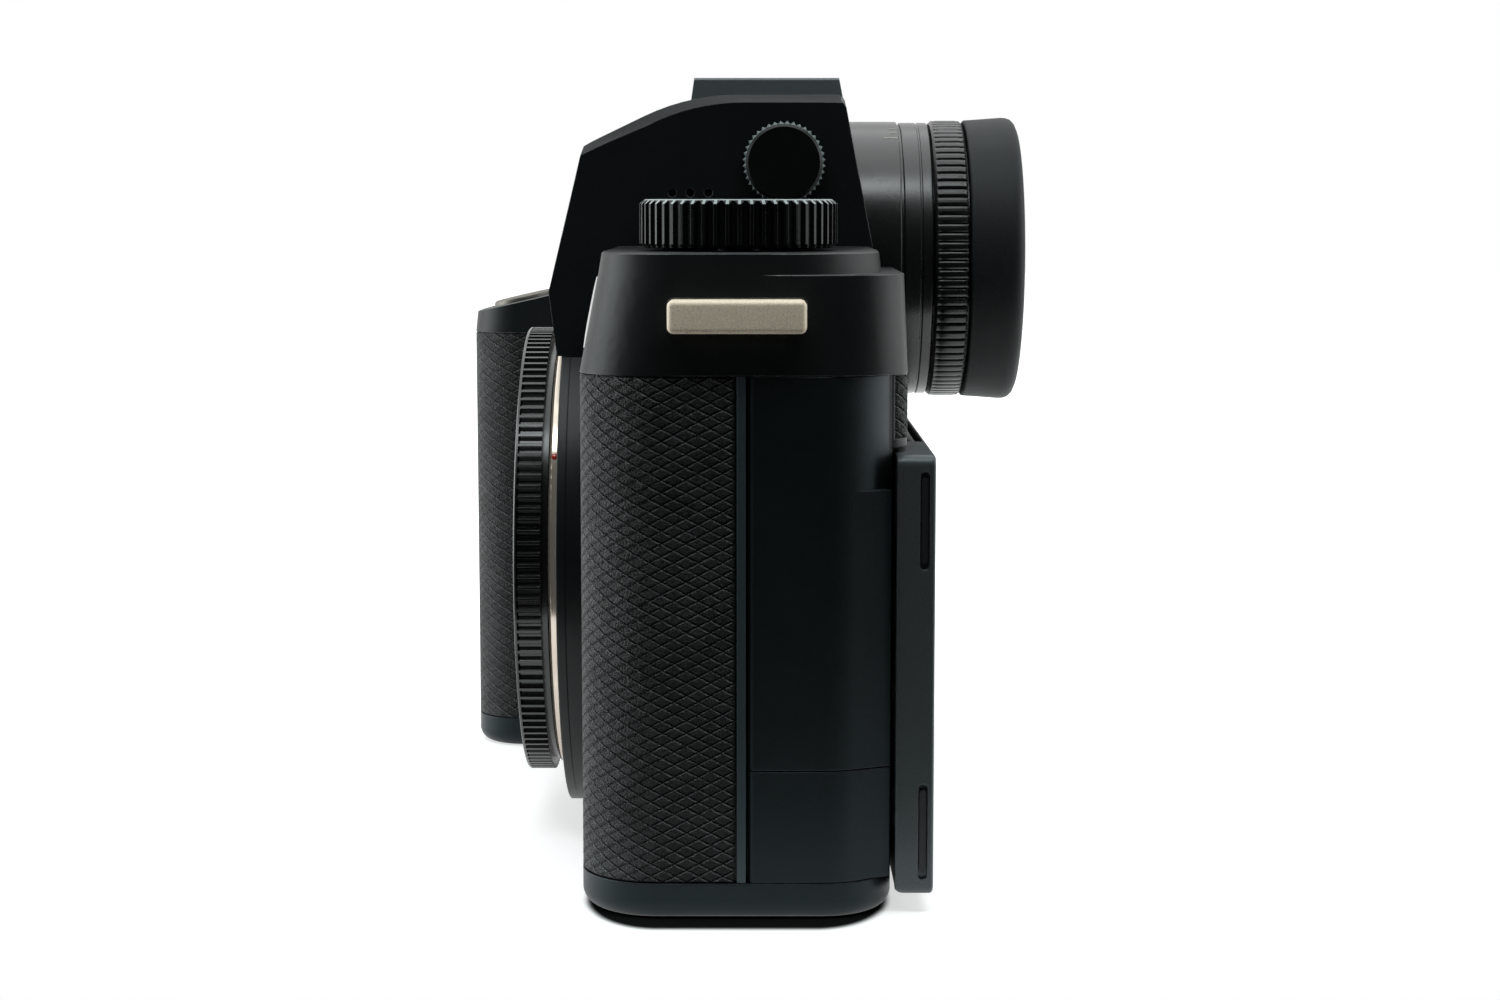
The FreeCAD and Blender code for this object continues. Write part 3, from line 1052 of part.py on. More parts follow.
def make_controls():
    make_dial("dial_socket_side", "dial_x", "dial_y", "deck_z", "dial_radius", "dial_tall", "dial_grooves", "0.42", "deck_z - ledge_z + skin + 0.8")
    make_dial("dial_thumb", "thumb_dial_x", "thumb_dial_y", "ledge_z", "thumb_dial_radius", "thumb_dial_tall",
              "thumb_dial_grooves", "0.35", "skin + 0.8")
    make_dial("mode_dial", "mode_dial_x", "mode_dial_y", "ledge_z", "mode_dial_radius", "mode_dial_tall",
              "mode_dial_grooves", "0.35", "skin + 0.8")

    body = new_body("side_knob")
    turn_profile(body, [
        ("0", "0.2"), ("knob_radius - 0.6", "0.2"), ("knob_radius - 0.6", "0.7"), ("knob_radius", "0.7"),
        ("knob_radius", "knob_tall - 0.35"), ("knob_radius - 0.5", "knob_tall"), ("0", "knob_tall"),
    ])
    tooth = cut(body, "XY", "0.7", "knob_tall", [
        ("knob_radius - 0.42", "0"), ("knob_radius + 0.1", "-0.42"), ("knob_radius + 0.1", "0.42")])
    repeat_round(body, tooth, "knob_teeth")
    add(body, "XY", "-4", "0.3", ("0", "0", "knob_shaft"))
    place(body, "hump_side", "knob_y", "knob_z", FACING_SIDE)

    body = new_body("front_wheel")
    turn_profile(body, [
        ("0", "-wheel_wide / 2 - axle_reach"), ("axle_radius", "-wheel_wide / 2 - axle_reach"), ("axle_radius", "-wheel_wide / 2"),
        ("wheel_radius - 0.5", "-wheel_wide / 2"), ("wheel_radius", "-wheel_wide / 2 + 0.5"), ("wheel_radius", "wheel_wide / 2 - 0.5"),
        ("wheel_radius - 0.5", "wheel_wide / 2"), ("axle_radius", "wheel_wide / 2"), ("axle_radius", "wheel_wide / 2 + axle_reach"),
        ("0", "wheel_wide / 2 + axle_reach"),
    ])
    groove = cut(body, "XY", "-wheel_wide / 2", "wheel_wide / 2", [
        ("wheel_radius - 0.4", "-0.2"), ("wheel_radius + 0.3", "-0.45"), ("wheel_radius + 0.3", "0.45"), ("wheel_radius - 0.4", "0.2")])
    repeat_round(body, groove, "wheel_grooves")
    place(body, "wheel_x", "wheel_y", WHEEL_Z, FACING_SIDE)

    body = new_body("shutter_button")
    turn_profile(body, [
        ("0", "-7"), ("button_stem", "-7"), ("button_stem", "-shutter_sunk"), ("shutter_radius", "-shutter_sunk"), ("shutter_radius", "shutter_proud - 0.5"),
        ("shutter_radius - 0.5", "shutter_proud"), ("shutter_radius - 1.6", "shutter_proud"), ("0", "shutter_proud - 0.5"),
    ])
    place(body, "wheel_x", "shutter_y", slope_z("shutter_y"), ((1, 0, 0), number("grip_slope")))
    body.setExpression("Placement.Rotation.Angle", bound("grip_slope * 1deg"))

    for index, (x, y) in enumerate(DECK_KEYS, 1):
        body = new_body(f"deck_key_{index}")
        turn_profile(body, [
            ("0", "-skin - 0.6"), ("deck_key_radius", "-skin - 0.6"), ("deck_key_radius", "key_proud - 0.35"),
            ("deck_key_radius - 0.35", "key_proud"), ("0", "key_proud"),
        ])
        place(body, x, y, "ledge_z")
    for row in range(3):
        body = new_body(f"back_key_{row + 1}")
        turn_profile(body, [
            ("0", "-rear_wall - 0.6"), ("key_radius", "-rear_wall - 0.6"), ("key_radius", "key_proud - 0.4"),
            ("key_radius - 0.4", "key_proud"), ("0", "key_proud"),
        ])
        place(body, "key_x", "back_y", f"key_low_z + {row} * key_pitch", FACING_BACK)

    body = new_body("rear_dial")
    turn_profile(body, [
        ("0", "-rear_wall - 0.8"), ("shaft_radius", "-rear_wall - 0.8"), ("shaft_radius", "run_gap"), ("rear_dial_radius - 0.4", "run_gap"),
        ("rear_dial_radius", "run_gap + 0.4"), ("rear_dial_radius", "rear_dial_tall - 0.6"), ("rear_dial_radius - 0.6", "rear_dial_tall"), ("4.6", "rear_dial_tall"),
        ("4.2", "1.3"), ("0", "1.3"),
    ])
    groove = cut(body, "XY", "1.2", "rear_dial_tall", [
        ("rear_dial_radius - 0.3", "0"), ("rear_dial_radius + 0.3", "-0.6"), ("rear_dial_radius + 0.3", "0.6")])
    repeat_round(body, groove, "48")
    place(body, "rear_dial_x", "back_y", "rear_dial_z", FACING_BACK)

    body = new_body("joystick")
    turn_profile(body, [
        ("0", "brow_y - 8.2"), ("1.2", "brow_y - 8.2"), ("1.2", "brow_y + 1.0"), ("stick_radius", "brow_y + 1.0"), ("stick_radius", "brow_y + 2.2"),
        ("stick_radius - 0.8", "brow_y + 3"), ("stick_radius - 1.6", "brow_y + 3"), ("0", "brow_y + 2.6"),
    ])
    place(body, "stick_x", "0", "stick_z", FACING_BACK)
    body = new_body("joystick_ring")
    turn_profile(body, [("1.7", "brow_y - 6.4"), ("3.4", "brow_y - 6.4"), ("3.4", "brow_y - 5"), ("1.7", "brow_y - 5")])
    place(body, "stick_x", "0", "stick_z", FACING_BACK)

    body = new_body("power_lever")
    turn_profile(body, [
        ("shaft_radius + 2", "0.1"), ("mode_dial_radius + 1.4", "0.1"), ("mode_dial_radius + 1.4", "0.9"),
        ("mode_dial_radius + 0.9", "1.4"), ("mode_dial_radius + 0.3", "1.4"), ("mode_dial_radius + 0.3", "run_gap"),
        ("mode_dial_radius", "0.35"),
    ])
    place(body, "mode_dial_x", "mode_dial_y", "ledge_z")


def make_shoe():
    """Accessory shoe and the contact plate in its floor."""
    body = new_body("accessory_shoe")
    under = "shoe_floor_z"
    add(body, "XZ", "shoe_front_y", "shoe_back_y", [
        ("-shoe_half", "hump_crown_z - shoe_sunk"), ("shoe_half", "hump_crown_z - shoe_sunk"), ("shoe_half", "shoe_top_z - 0.3"),
        ("shoe_half - 0.3", "shoe_top_z"), ("shoe_mouth_half", "shoe_top_z"), ("shoe_mouth_half", "shoe_top_z - shoe_lip"),
        ("shoe_slot_half", "shoe_top_z - shoe_lip"), ("shoe_slot_half", under), ("-shoe_slot_half", under),
        ("-shoe_slot_half", "shoe_top_z - shoe_lip"), ("-shoe_mouth_half", "shoe_top_z - shoe_lip"),
        ("-shoe_mouth_half", "shoe_top_z"), ("-shoe_half + 0.3", "shoe_top_z"), ("-shoe_half", "shoe_top_z - 0.3"),
    ])
    add(body, "XY", under, "shoe_top_z - shoe_lip", rectangle("-shoe_slot_half", "shoe_slot_half", "shoe_front_y", "shoe_front_y + 1.8"))
    cut(body, "XY", under + " - 0.35", under + " + 0.01", rectangle("-5", "5", "shoe_front_y + 5.4", "shoe_back_y - 4.2", "0.6"))
    body = new_body("shoe_contacts")
    add(body, "XY", under + " - 0.35", under, rectangle("-4.95", "4.95", "shoe_front_y + 5.45", "shoe_back_y - 4.25", "0.6"))


# Screen, doors, battery and the parts inside

def make_screen():
    """Tilting arm, screen housing with its pocket, the glass and the two side strips."""
    body = new_body("screen_arm")
    plate = "(screen_in_y + run_gap)"
    add(body, "YZ", "arm_left_x", "arm_right_x", [
        (plate, "low_pivot_z - 0.6"), (f"{plate} + arm_thick", "low_pivot_z - 0.6"),
        (f"{plate} + arm_thick", "high_pivot_z - 3.6"), ("high_pivot_y + 0.9", "high_pivot_z - 0.9"),
        ("high_pivot_y + 0.9", "high_pivot_z + 0.7", "0.5"), ("high_pivot_y - 0.9", "high_pivot_z + 0.7", "0.5"),
        (plate, "high_pivot_z - 2.6"),
    ])
    for y, z in (("low_pivot_y", "low_pivot_z"), ("high_pivot_y", "high_pivot_z")):
        add(body, "YZ", "arm_left_x", "arm_right_x", (y, z, "knuckle - 0.1"))
        add(body, "YZ", "arm_left_x - 1.7", "arm_right_x + 1.7", (y, z, "pivot_pin"))
    cut(body, "XZ", f"{plate} - 0.5", f"{plate} + arm_thick + 0.5", rectangle("arm_left_x + 6", "arm_right_x - 6", "14", "46", "3"))

    body = new_body("screen_housing")
    add(body, "XZ", "screen_in_y", "screen_out_y", rectangle("screen_left_x", "screen_right_x", "screen_low_z", "screen_high_z", "1.5"))
    soften(body, "1.1", lambda edge: lies_at("Y", "screen_in_y")(edge) and edge.BoundBox.XLength > 60)
    soften(body, "0.5", lies_at("Y", "screen_out_y"))
    pocket = f"({plate} + arm_thick + 0.4)"
    gap = "run_gap"
    cut(body, "XZ", "screen_in_y - 1", pocket, rectangle(f"arm_left_x - {gap}", f"arm_right_x + {gap}", "screen_low_z - 1", "high_pivot_z - 3"))
    cut(body, "XZ", "screen_in_y - 1", "high_pivot_y + 1.4", rectangle(
        f"arm_left_x - {gap}", f"arm_right_x + {gap}", "high_pivot_z - 4.4", "screen_high_z + 1"))
    for low, high in ((f"arm_left_x - ear_thick - 2 * {gap}", "arm_left_x"), ("arm_right_x", f"arm_right_x + ear_thick + 2 * {gap}")):
        cut(body, "XZ", "screen_in_y - 1", "low_pivot_y + knuckle + 0.4", rectangle(low, high, "screen_low_z - 1", "low_pivot_z + 4.2"))
    cut(body, "XZ", "screen_in_y - 1", "low_pivot_y + knuckle + 0.4", rectangle("arm_left_x - 0.1", "arm_right_x + 0.1", "screen_low_z - 1", "low_pivot_z + 1.6"))
    cut(body, "YZ", "arm_left_x - 2", "arm_right_x + 2", ("high_pivot_y", "high_pivot_z", "pivot_pin + shaft_gap"))
    window = rectangle("screen_left_x + 1.6", "screen_right_x - 1.6", "screen_low_z + 3", "screen_high_z - 4.6", "1")
    cut(body, "XZ", "screen_out_y - 0.9", "screen_out_y + 0.1", window)
    for low in ("slot_low_z", "slot_high_z"):
        slot = rectangle("slot_y - slot_wide / 2", "slot_y + slot_wide / 2", low, f"{low} + slot_tall", "slot_wide / 2 - 0.02")
        cut(body, "YZ", "screen_right_x - 0.7", "screen_right_x + 0.1", slot)

    body = new_body("screen_glass")
    add(body, "XZ", "screen_out_y - 0.9", "screen_out_y", rectangle(
        "screen_left_x + 1.7", "screen_right_x - 1.7", "screen_low_z + 3.1", "screen_high_z - 4.7", "0.9"))
    body = new_body("screen_strips")
    body.AllowCompound = True
    strips = []
    for low in ("slot_low_z", "slot_high_z"):
        strips.append(rectangle("slot_y - slot_wide / 2 + 0.15", "slot_y + slot_wide / 2 - 0.15", f"{low} + 0.8", f"{low} + slot_tall - 0.8", "0.4"))
    add(body, "YZ", "screen_right_x - 0.7", "screen_right_x - 0.25", *strips)


def finger_lip():
    """The doors' finger lip from above: it leaves the corner on a tangent and ends in an edge."""
    def point(radius, angle):
        return (f"side_x - back_corner + ({radius}) * cos({angle} * 1deg)", f"back_y - back_corner + ({radius}) * sin({angle} * 1deg)")

    x, y = point("back_corner", "lip_turn")
    end = (f"{x} - lip_long * sin(lip_turn * 1deg)", f"{y} + lip_long * cos(lip_turn * 1deg)")
    shares = (1, 0.75, 0.5, 0.25, 0)
    return [(x, y), end] + [point("back_corner - 0.5", f"(lip_turn + (lip_root - lip_turn) * {share})") for share in shares]


def make_doors():
    """The two socket doors that wrap the back corner, the card door, and what lies behind them."""
    hinge_y = "(door_front_y + 0.94)"
    for name, low, high in (("door_upper", "door_split_z + 0.1", "seam_z - 0.15"), ("door_lower", "base_z + 0.15", "door_split_z - 0.1")):
        body = new_body(name)
        add(body, "XY", low, high, door_ring("0", "door_thick", hinge_y))
        cut(body, "XY", low, high, rectangle("side_x - back_corner - 2", "door_wrap_x", "back_y - 5", "back_y + 1"))
        add(body, "XY", low, high, ("side_x - door_thick / 2 - 0.02", hinge_y, "door_thick / 2 + 0.02"))
        lip_end = "base_z + lip_low"
        lip = (low, f"{lip_end} + lip_tall") if name == "door_upper" else (lip_end, high)
        add(body, "XY", *lip, finger_lip())
    body = new_body("port_sockets")
    add(body, "YZ", "side_x - 10", "side_x - door_recess - 1.9", rectangle("door_front_y + 3.3", "door_front_y + 11.3", "base_z + 4.9", "seam_z - 16.7"))
    for z, wide in (("14", "3.6"), ("22.5", "3.6")):
        cut(body, "YZ", "side_x - 8", "side_x - door_recess - 1.8", ("7", z, "1.75"))
    cut(body, "YZ", "side_x - 8", "side_x - door_recess - 1.8", rectangle("5.4", "8.6", "28.5", "37.5", "1.4"))
    cut(body, "YZ", "side_x - 8", "side_x - door_recess - 1.8", rectangle("4.6", "9.4", "41", "50.5", "1"))

    body = new_body("card_door")
    pivot_y = "(card_front_y + 1)"
    add(body, "XY", "card_low_z", "card_high_z", rectangle("grip_x", "grip_x + door_thick", pivot_y, "card_back_y"))
    add(body, "XY", "card_low_z", "card_high_z", ("grip_x + door_thick / 2 + 0.02", pivot_y, "door_thick / 2 + 0.02"))
    body = new_body("card_slots")
    add(body, "XY", "card_low_z + 1", "card_high_z - 1", rectangle("grip_x + door_recess + 1.6", "-42", "card_front_y + 0.6", "card_back_y - 0.2"))
    for y in ("5", "8.6"):
        cut(body, "YZ", "grip_x", "-44", rectangle(f"{y} - 1.1", f"{y} + 1.1", "22", "48"))


def make_battery():
    """Battery with the base cap it carries, its bay and the release lever."""
    body = new_body("battery")
    outline = rectangle("battery_left_x", "battery_right_x", "battery_front_y", "battery_back_y", "battery_corner")
    add(body, "XY", "0", "battery_tall", outline)
    soften(body, "0.4", lies_at("Z", "0"))
    body = new_body("battery_bay")
    grow = "(battery_gap + bay_wall)"

    def bay(amount):
        return rectangle(f"battery_left_x - {amount}", f"battery_right_x + {amount}",
                         f"battery_front_y - {amount}", f"battery_back_y + {amount}", f"battery_corner + {amount}")

    add(body, "XY", "skin", "battery_tall + 1.6", bay(grow))
    cut(body, "XY", "skin", "battery_tall + 0.8", bay("battery_gap"))
    body = new_body("battery_lever")
    turn_profile(body, [
        ("0", "0.3"), ("lever_radius", "0.3"), ("lever_radius", "lever_thick + 0.3"), ("1.5", "lever_thick + 0.3"),
        ("1.5", "skin + 1.6"), ("0", "skin + 1.6"),
    ])
    cut(body, "XY", "0.3", "0.8", rectangle("-lever_radius - 1", "-0.6", "-1.4", "1.4"))
    place(body, "lever_x", "lever_y", "0")


def make_inside():
    """Shutter unit with its leaves, image sensor and chassis plate."""
    gate = rectangle("-gate_half_x", "gate_half_x", "lens_z - gate_half_z", "lens_z + gate_half_z")
    body = new_body("shutter_frame")
    add(body, "XZ", "shutter_front_y", "shutter_back_y", rectangle("-gate_half_x - 6.5", "gate_half_x + 6.5", "leaf_low_z - 1.5", "lens_z + gate_half_z + 6", "1"))
    cut(body, "XZ", "shutter_front_y + 0.7", "shutter_back_y - 0.7", rectangle("-gate_half_x - 2.1", "gate_half_x + 2.1", "leaf_low_z - 0.4", "lens_z + gate_half_z + 5"))
    cut(body, "XZ", "shutter_front_y", "shutter_back_y", gate)
    posts = [(x, f"lens_z {z}", "1.3") for x in ("-gate_half_x - 4.5", "gate_half_x + 4.5") for z in ("- gate_half_z - 8", "+ gate_half_z + 4")]
    add(body, "XZ", "shutter_back_y", "chassis_y", *posts)
    for index in range(3):
        body = new_body(f"shutter_leaf_{index + 1}")
        front = f"(shutter_front_y + 1.0 + {index} * leaf_step)"
        add(body, "XZ", front, f"{front} + leaf_thick", rectangle("-gate_half_x - 1.7", "gate_half_x + 1.7", "leaf_low_z", "leaf_low_z + leaf_tall"))
    body = new_body("image_sensor")
    sensor = rectangle("-sensor_half_x", "sensor_half_x", "lens_z - sensor_half_z", "lens_z + sensor_half_z")
    add(body, "XZ", "sensor_y", "sensor_y + 1.2", sensor)
    add(body, "XZ", "sensor_y + 1.2", "sensor_y + 2.2", rectangle(
        "-sensor_half_x - 3.3", "sensor_half_x + 3.3", "lens_z - sensor_half_z - 3.1", "lens_z + sensor_half_z + 3.1", "2"))
    add(body, "XZ", "sensor_y + 2.2", "chassis_y - fit_gap", rectangle("-12", "12", "lens_z - 8", "lens_z + 8"))
    body = new_body("chassis_plate")
    add(body, "XZ", "chassis_y", "chassis_y + chassis_thick", rectangle("lever_x - 2", "side_x - 4.5", "base_z + 1.6", "seam_z", "1"))
    cut(body, "XZ", "chassis_y", "chassis_y + chassis_thick", rectangle("-10", "10", "seam_z - 6", "seam_z"))


make_base_plate()
make_tripod_socket()
make_front_casing()
make_leather_front()
make_leather_grip()
make_rear_casing()
make_top_cover()
make_trims()
make_mount()
make_eyepiece()
make_controls()
make_shoe()
make_screen()
make_doors()
make_battery()
make_inside()

document.removeObject("arithmetic")
document.recompute()

# Each finished piece goes to a file of its own
os.makedirs("parts", exist_ok=True)
pieces = [item for item in document.Objects if item.TypeId in ("PartDesign::Body", "Part::MultiFuse")]
for item in document.Objects:
    if "Invalid" in item.State or "Error" in item.State:
        sys.exit(f"{item.Label} did not build")
for piece in pieces:
    if piece.Shape.isNull() or not piece.Shape.isValid() or piece.Shape.Volume <= 0:
        sys.exit(f"{piece.Label} has no sound solid")
    piece.Shape.exportStep(f"parts/{piece.Label}.step")
print(len(pieces), "pieces")
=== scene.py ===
import bpy
import json
from math import atan2, cos, hypot, pi, radians, sin
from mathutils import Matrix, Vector

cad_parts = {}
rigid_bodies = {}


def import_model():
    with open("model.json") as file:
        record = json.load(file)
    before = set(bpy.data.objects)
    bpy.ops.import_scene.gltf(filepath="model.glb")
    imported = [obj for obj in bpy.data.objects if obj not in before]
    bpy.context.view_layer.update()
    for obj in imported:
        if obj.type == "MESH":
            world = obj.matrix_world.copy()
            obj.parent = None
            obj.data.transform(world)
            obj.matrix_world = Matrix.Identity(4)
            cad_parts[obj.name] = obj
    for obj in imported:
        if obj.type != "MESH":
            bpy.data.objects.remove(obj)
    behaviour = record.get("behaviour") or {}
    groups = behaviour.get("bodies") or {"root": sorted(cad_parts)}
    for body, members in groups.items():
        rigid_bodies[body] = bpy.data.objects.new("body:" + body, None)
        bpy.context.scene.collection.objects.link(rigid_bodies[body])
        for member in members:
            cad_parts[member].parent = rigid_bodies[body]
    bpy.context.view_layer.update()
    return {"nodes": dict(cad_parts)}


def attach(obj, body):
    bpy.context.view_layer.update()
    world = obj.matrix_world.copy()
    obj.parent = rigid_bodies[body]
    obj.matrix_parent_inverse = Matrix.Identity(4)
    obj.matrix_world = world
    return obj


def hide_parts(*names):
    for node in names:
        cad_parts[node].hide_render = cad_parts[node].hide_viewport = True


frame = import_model()
nodes = frame["nodes"]
for thing in bpy.data.objects:
    thing.select_set(False)


# Studio ---------------------------------------------------------------------
# The camera body stands on a white table in front of a white tent, seen square on from its socket side.
# Cloths are lit above it and at both its ends. The room behind the viewer is dark, so the near side is black.


def add_node(tree, kind, settings=None, **values):
    """A node with its settings, and its inputs set to numbers or linked to sockets by name."""
    node = tree.nodes.new("ShaderNode" + kind)
    for key, value in (settings or {}).items():
        setattr(node, key, value)
    for key, value in values.items():
        key = int(key[1:]) if key[0] == "_" and key[1:].isdigit() else key.replace("_", " ")
        if isinstance(value, bpy.types.NodeSocket):
            tree.links.new(value, node.inputs[key])
        else:
            node.inputs[key].default_value = value
    return node


def maths(tree, operation, first, second):
    """The result of a maths node, whose inputs are numbers or sockets."""
    return add_node(tree, "Math", {"operation": operation}, _0=first, _1=second).outputs[0]


def mapped(tree, value, low, high, at_low=0.0, at_high=1.0, smooth=False):
    """A value brought from one range to another and held inside it."""
    return add_node(tree, "MapRange", {"interpolation_type": "SMOOTHSTEP" if smooth else "LINEAR"},
                    Value=value, From_Min=low, From_Max=high, To_Min=at_low, To_Max=at_high).outputs[0]


def attribute(tree, name):
    """A value kept in the mesh, for a material."""
    return add_node(tree, "Attribute", {"attribute_name": name}).outputs["Fac"]


def make_table_paper():
    """Smooth white paper: it takes the object's shadow near the object and is pure white farther off.
    Round the foot it carries a band of painted shadow that the viewer alone sees, so the foot's round edge
    still mirrors white paper."""
    material = bpy.data.materials.new("table_paper")
    material.use_nodes = True
    tree = material.node_tree
    tree.nodes.clear()
    rays = add_node(tree, "LightPath").outputs
    tone = mapped(tree, add_node(tree, "TexNoise", Scale=900).outputs["Fac"], 0.0, 1.0, 0.76, 0.82)
    place = add_node(tree, "TexCoord").outputs["Object"]
    from_middle = add_node(tree, "VectorMath", {"operation": "LENGTH"}, _0=place).outputs["Value"]
    glow = mapped(tree, from_middle, 0.065, 0.20, 0.58, 1.0)
    foot_middle, foot_core, narrowing = (0.00275, 0.00175, 0), (0.0562, 0.0099, 1), (1, 1.6, 1)
    for operation, value in (("ADD", foot_middle), ("ABSOLUTE", (0, 0, 0)), ("SUBTRACT", foot_core),
                             ("MAXIMUM", (0, 0, 0)), ("MULTIPLY", narrowing)):
        place = add_node(tree, "VectorMath", {"operation": operation}, _0=place, _1=value).outputs[0]
    to_foot = add_node(tree, "VectorMath", {"operation": "LENGTH"}, _0=place).outputs["Value"]
    # Round the foot the paper is painted dark for the viewer alone, a painted shadow, and its glow is held
    # off there.
    clear = mapped(tree, to_foot, 0.0148, 0.0168, smooth=True)
    painted_shadow = mapped(tree, to_foot, 0.0143, 0.0160, 0.01, 1.0, smooth=True)
    painted_shadow_seen = mapped(tree, rays["Is Camera Ray"], 0.0, 1.0, 1.0, painted_shadow)
    paper = add_node(tree, "BsdfDiffuse", Color=maths(tree, "MULTIPLY", tone, painted_shadow_seen))
    coating = add_node(tree, "BsdfGlossy", Roughness=0.12)
    coated = add_node(tree, "MixShader", _0=maths(tree, "MULTIPLY", painted_shadow, 0.05), _1=paper.outputs[0],
                      _2=coating.outputs[0])
    mirrored = maths(tree, "MAXIMUM", rays["Is Glossy Ray"], rays["Is Transmission Ray"])
    strength = mapped(tree, rays["Is Camera Ray"], 0.0, 1.0, maths(tree, "MULTIPLY", mirrored, glow),
                      maths(tree, "MULTIPLY", glow, clear))
    light = add_node(tree, "Emission", Strength=strength)
    both = add_node(tree, "AddShader", _0=coated.outputs[0], _1=light.outputs[0])
    add_node(tree, "OutputMaterial", Surface=both.outputs[0])
    return material


table_ends_x = 0.094
bpy.ops.mesh.primitive_plane_add(size=1, location=(table_ends_x - 1.5, 0, 0))
table_top = bpy.context.object
table_top.name = "table"
table_top.scale = (3, 4, 1)
bpy.ops.object.transform_apply(location=True, rotation=True, scale=True)
table_top.data.materials.append(make_table_paper())

tent = bpy.data.worlds.new("tent")
bpy.context.scene.world = tent
tent.use_nodes = True
tent_tree = tent.node_tree
sideways = add_node(
    tent_tree, "SeparateXYZ", _0=add_node(tent_tree, "TexCoord").outputs["Generated"]).outputs["X"]
cloth_level = mapped(tent_tree, sideways, -0.1, 0.4, 0.34, 0.035)
behind = mapped(tent_tree, sideways, 0.0, 0.25, 1.0, 0.0)
rays = add_node(tent_tree, "LightPath").outputs
mirrored = maths(tent_tree, "MAXIMUM", rays["Is Glossy Ray"], rays["Is Transmission Ray"])
seen_white = maths(tent_tree, "MAXIMUM", rays["Is Camera Ray"],
                   maths(tent_tree, "MULTIPLY", mirrored, behind))
tent_light = tent_tree.nodes["Background"]
tent_light.inputs["Color"].default_value = (1, 1, 1, 1)
tent_tree.links.new(mapped(tent_tree, seen_white, 0.0, 1.0, cloth_level, 1.0), tent_light.inputs["Strength"])


def cloth_light(name, place, aim, width, height, watts):
    """A white cloth lit from behind."""
    lamp = bpy.data.lights.new(name, "AREA")
    lamp.shape = "RECTANGLE"
    lamp.size = width
    lamp.size_y = height
    lamp.energy = watts
    lamp.color = (0.93, 1.0, 1.0)
    holder = bpy.data.objects.new(name, lamp)
    bpy.context.scene.collection.objects.link(holder)
    holder.location = place
    holder.rotation_euler = (Vector(aim) - Vector(place)).to_track_quat("-Z", "Y").to_euler()


cloth_light("cloth_above", (-0.20, 0, 0.95), (0, 0, 0.05), 1.3, 1.3, 5.4)
cloth_light("cloth_at_lens_end", (-0.08, -0.85, 0.28), (0, 0, 0.06), 0.75, 0.6, 4.8)
cloth_light("cloth_at_eye_end", (-0.08, 0.85, 0.34), (0, 0, 0.06), 0.7, 0.6, 2.6)
cloth_light("strip_over_viewer", (0.42, 0, 0.92), (0, 0, 0.06), 1.0, 0.18, 3.9)

viewer_place = Vector((0.3905, 0, 0.0908))
tilt_down = radians(6.5)
viewer = bpy.data.cameras.new("viewer")
viewer.sensor_width = 36
viewer.lens = 63.2
viewer.clip_start = 0.01
viewer_stand = bpy.data.objects.new("viewer", viewer)
bpy.context.scene.collection.objects.link(viewer_stand)
viewer_stand.location = viewer_place
viewer_stand.rotation_euler = Vector(
    (-cos(tilt_down), 0, -sin(tilt_down))).to_track_quat("-Z", "Y").to_euler()
bpy.context.scene.camera = viewer_stand
bpy.context.scene.view_settings.view_transform = "Standard"


# Base plate -----------------------------------------------------------------
# Cast magnesium, blasted and painted satin black, with a steel tripod socket screwed in from inside.
# The paint is rubbed thin on the lower edge, where the plate is set down.


def node_group(name, inputs, outputs):
    """An empty shader node group with its sockets, each given as (name, kind, value)."""
    group = bpy.data.node_groups.new(name, "ShaderNodeTree")
    for label, kind, value in inputs:
        socket = group.interface.new_socket(label, in_out="INPUT", socket_type="NodeSocket" + kind)
        socket.default_value = value
    for label, kind in outputs:
        group.interface.new_socket(label, in_out="OUTPUT", socket_type="NodeSocket" + kind)
    return group, group.nodes.new("NodeGroupInput").outputs, group.nodes.new("NodeGroupOutput").inputs


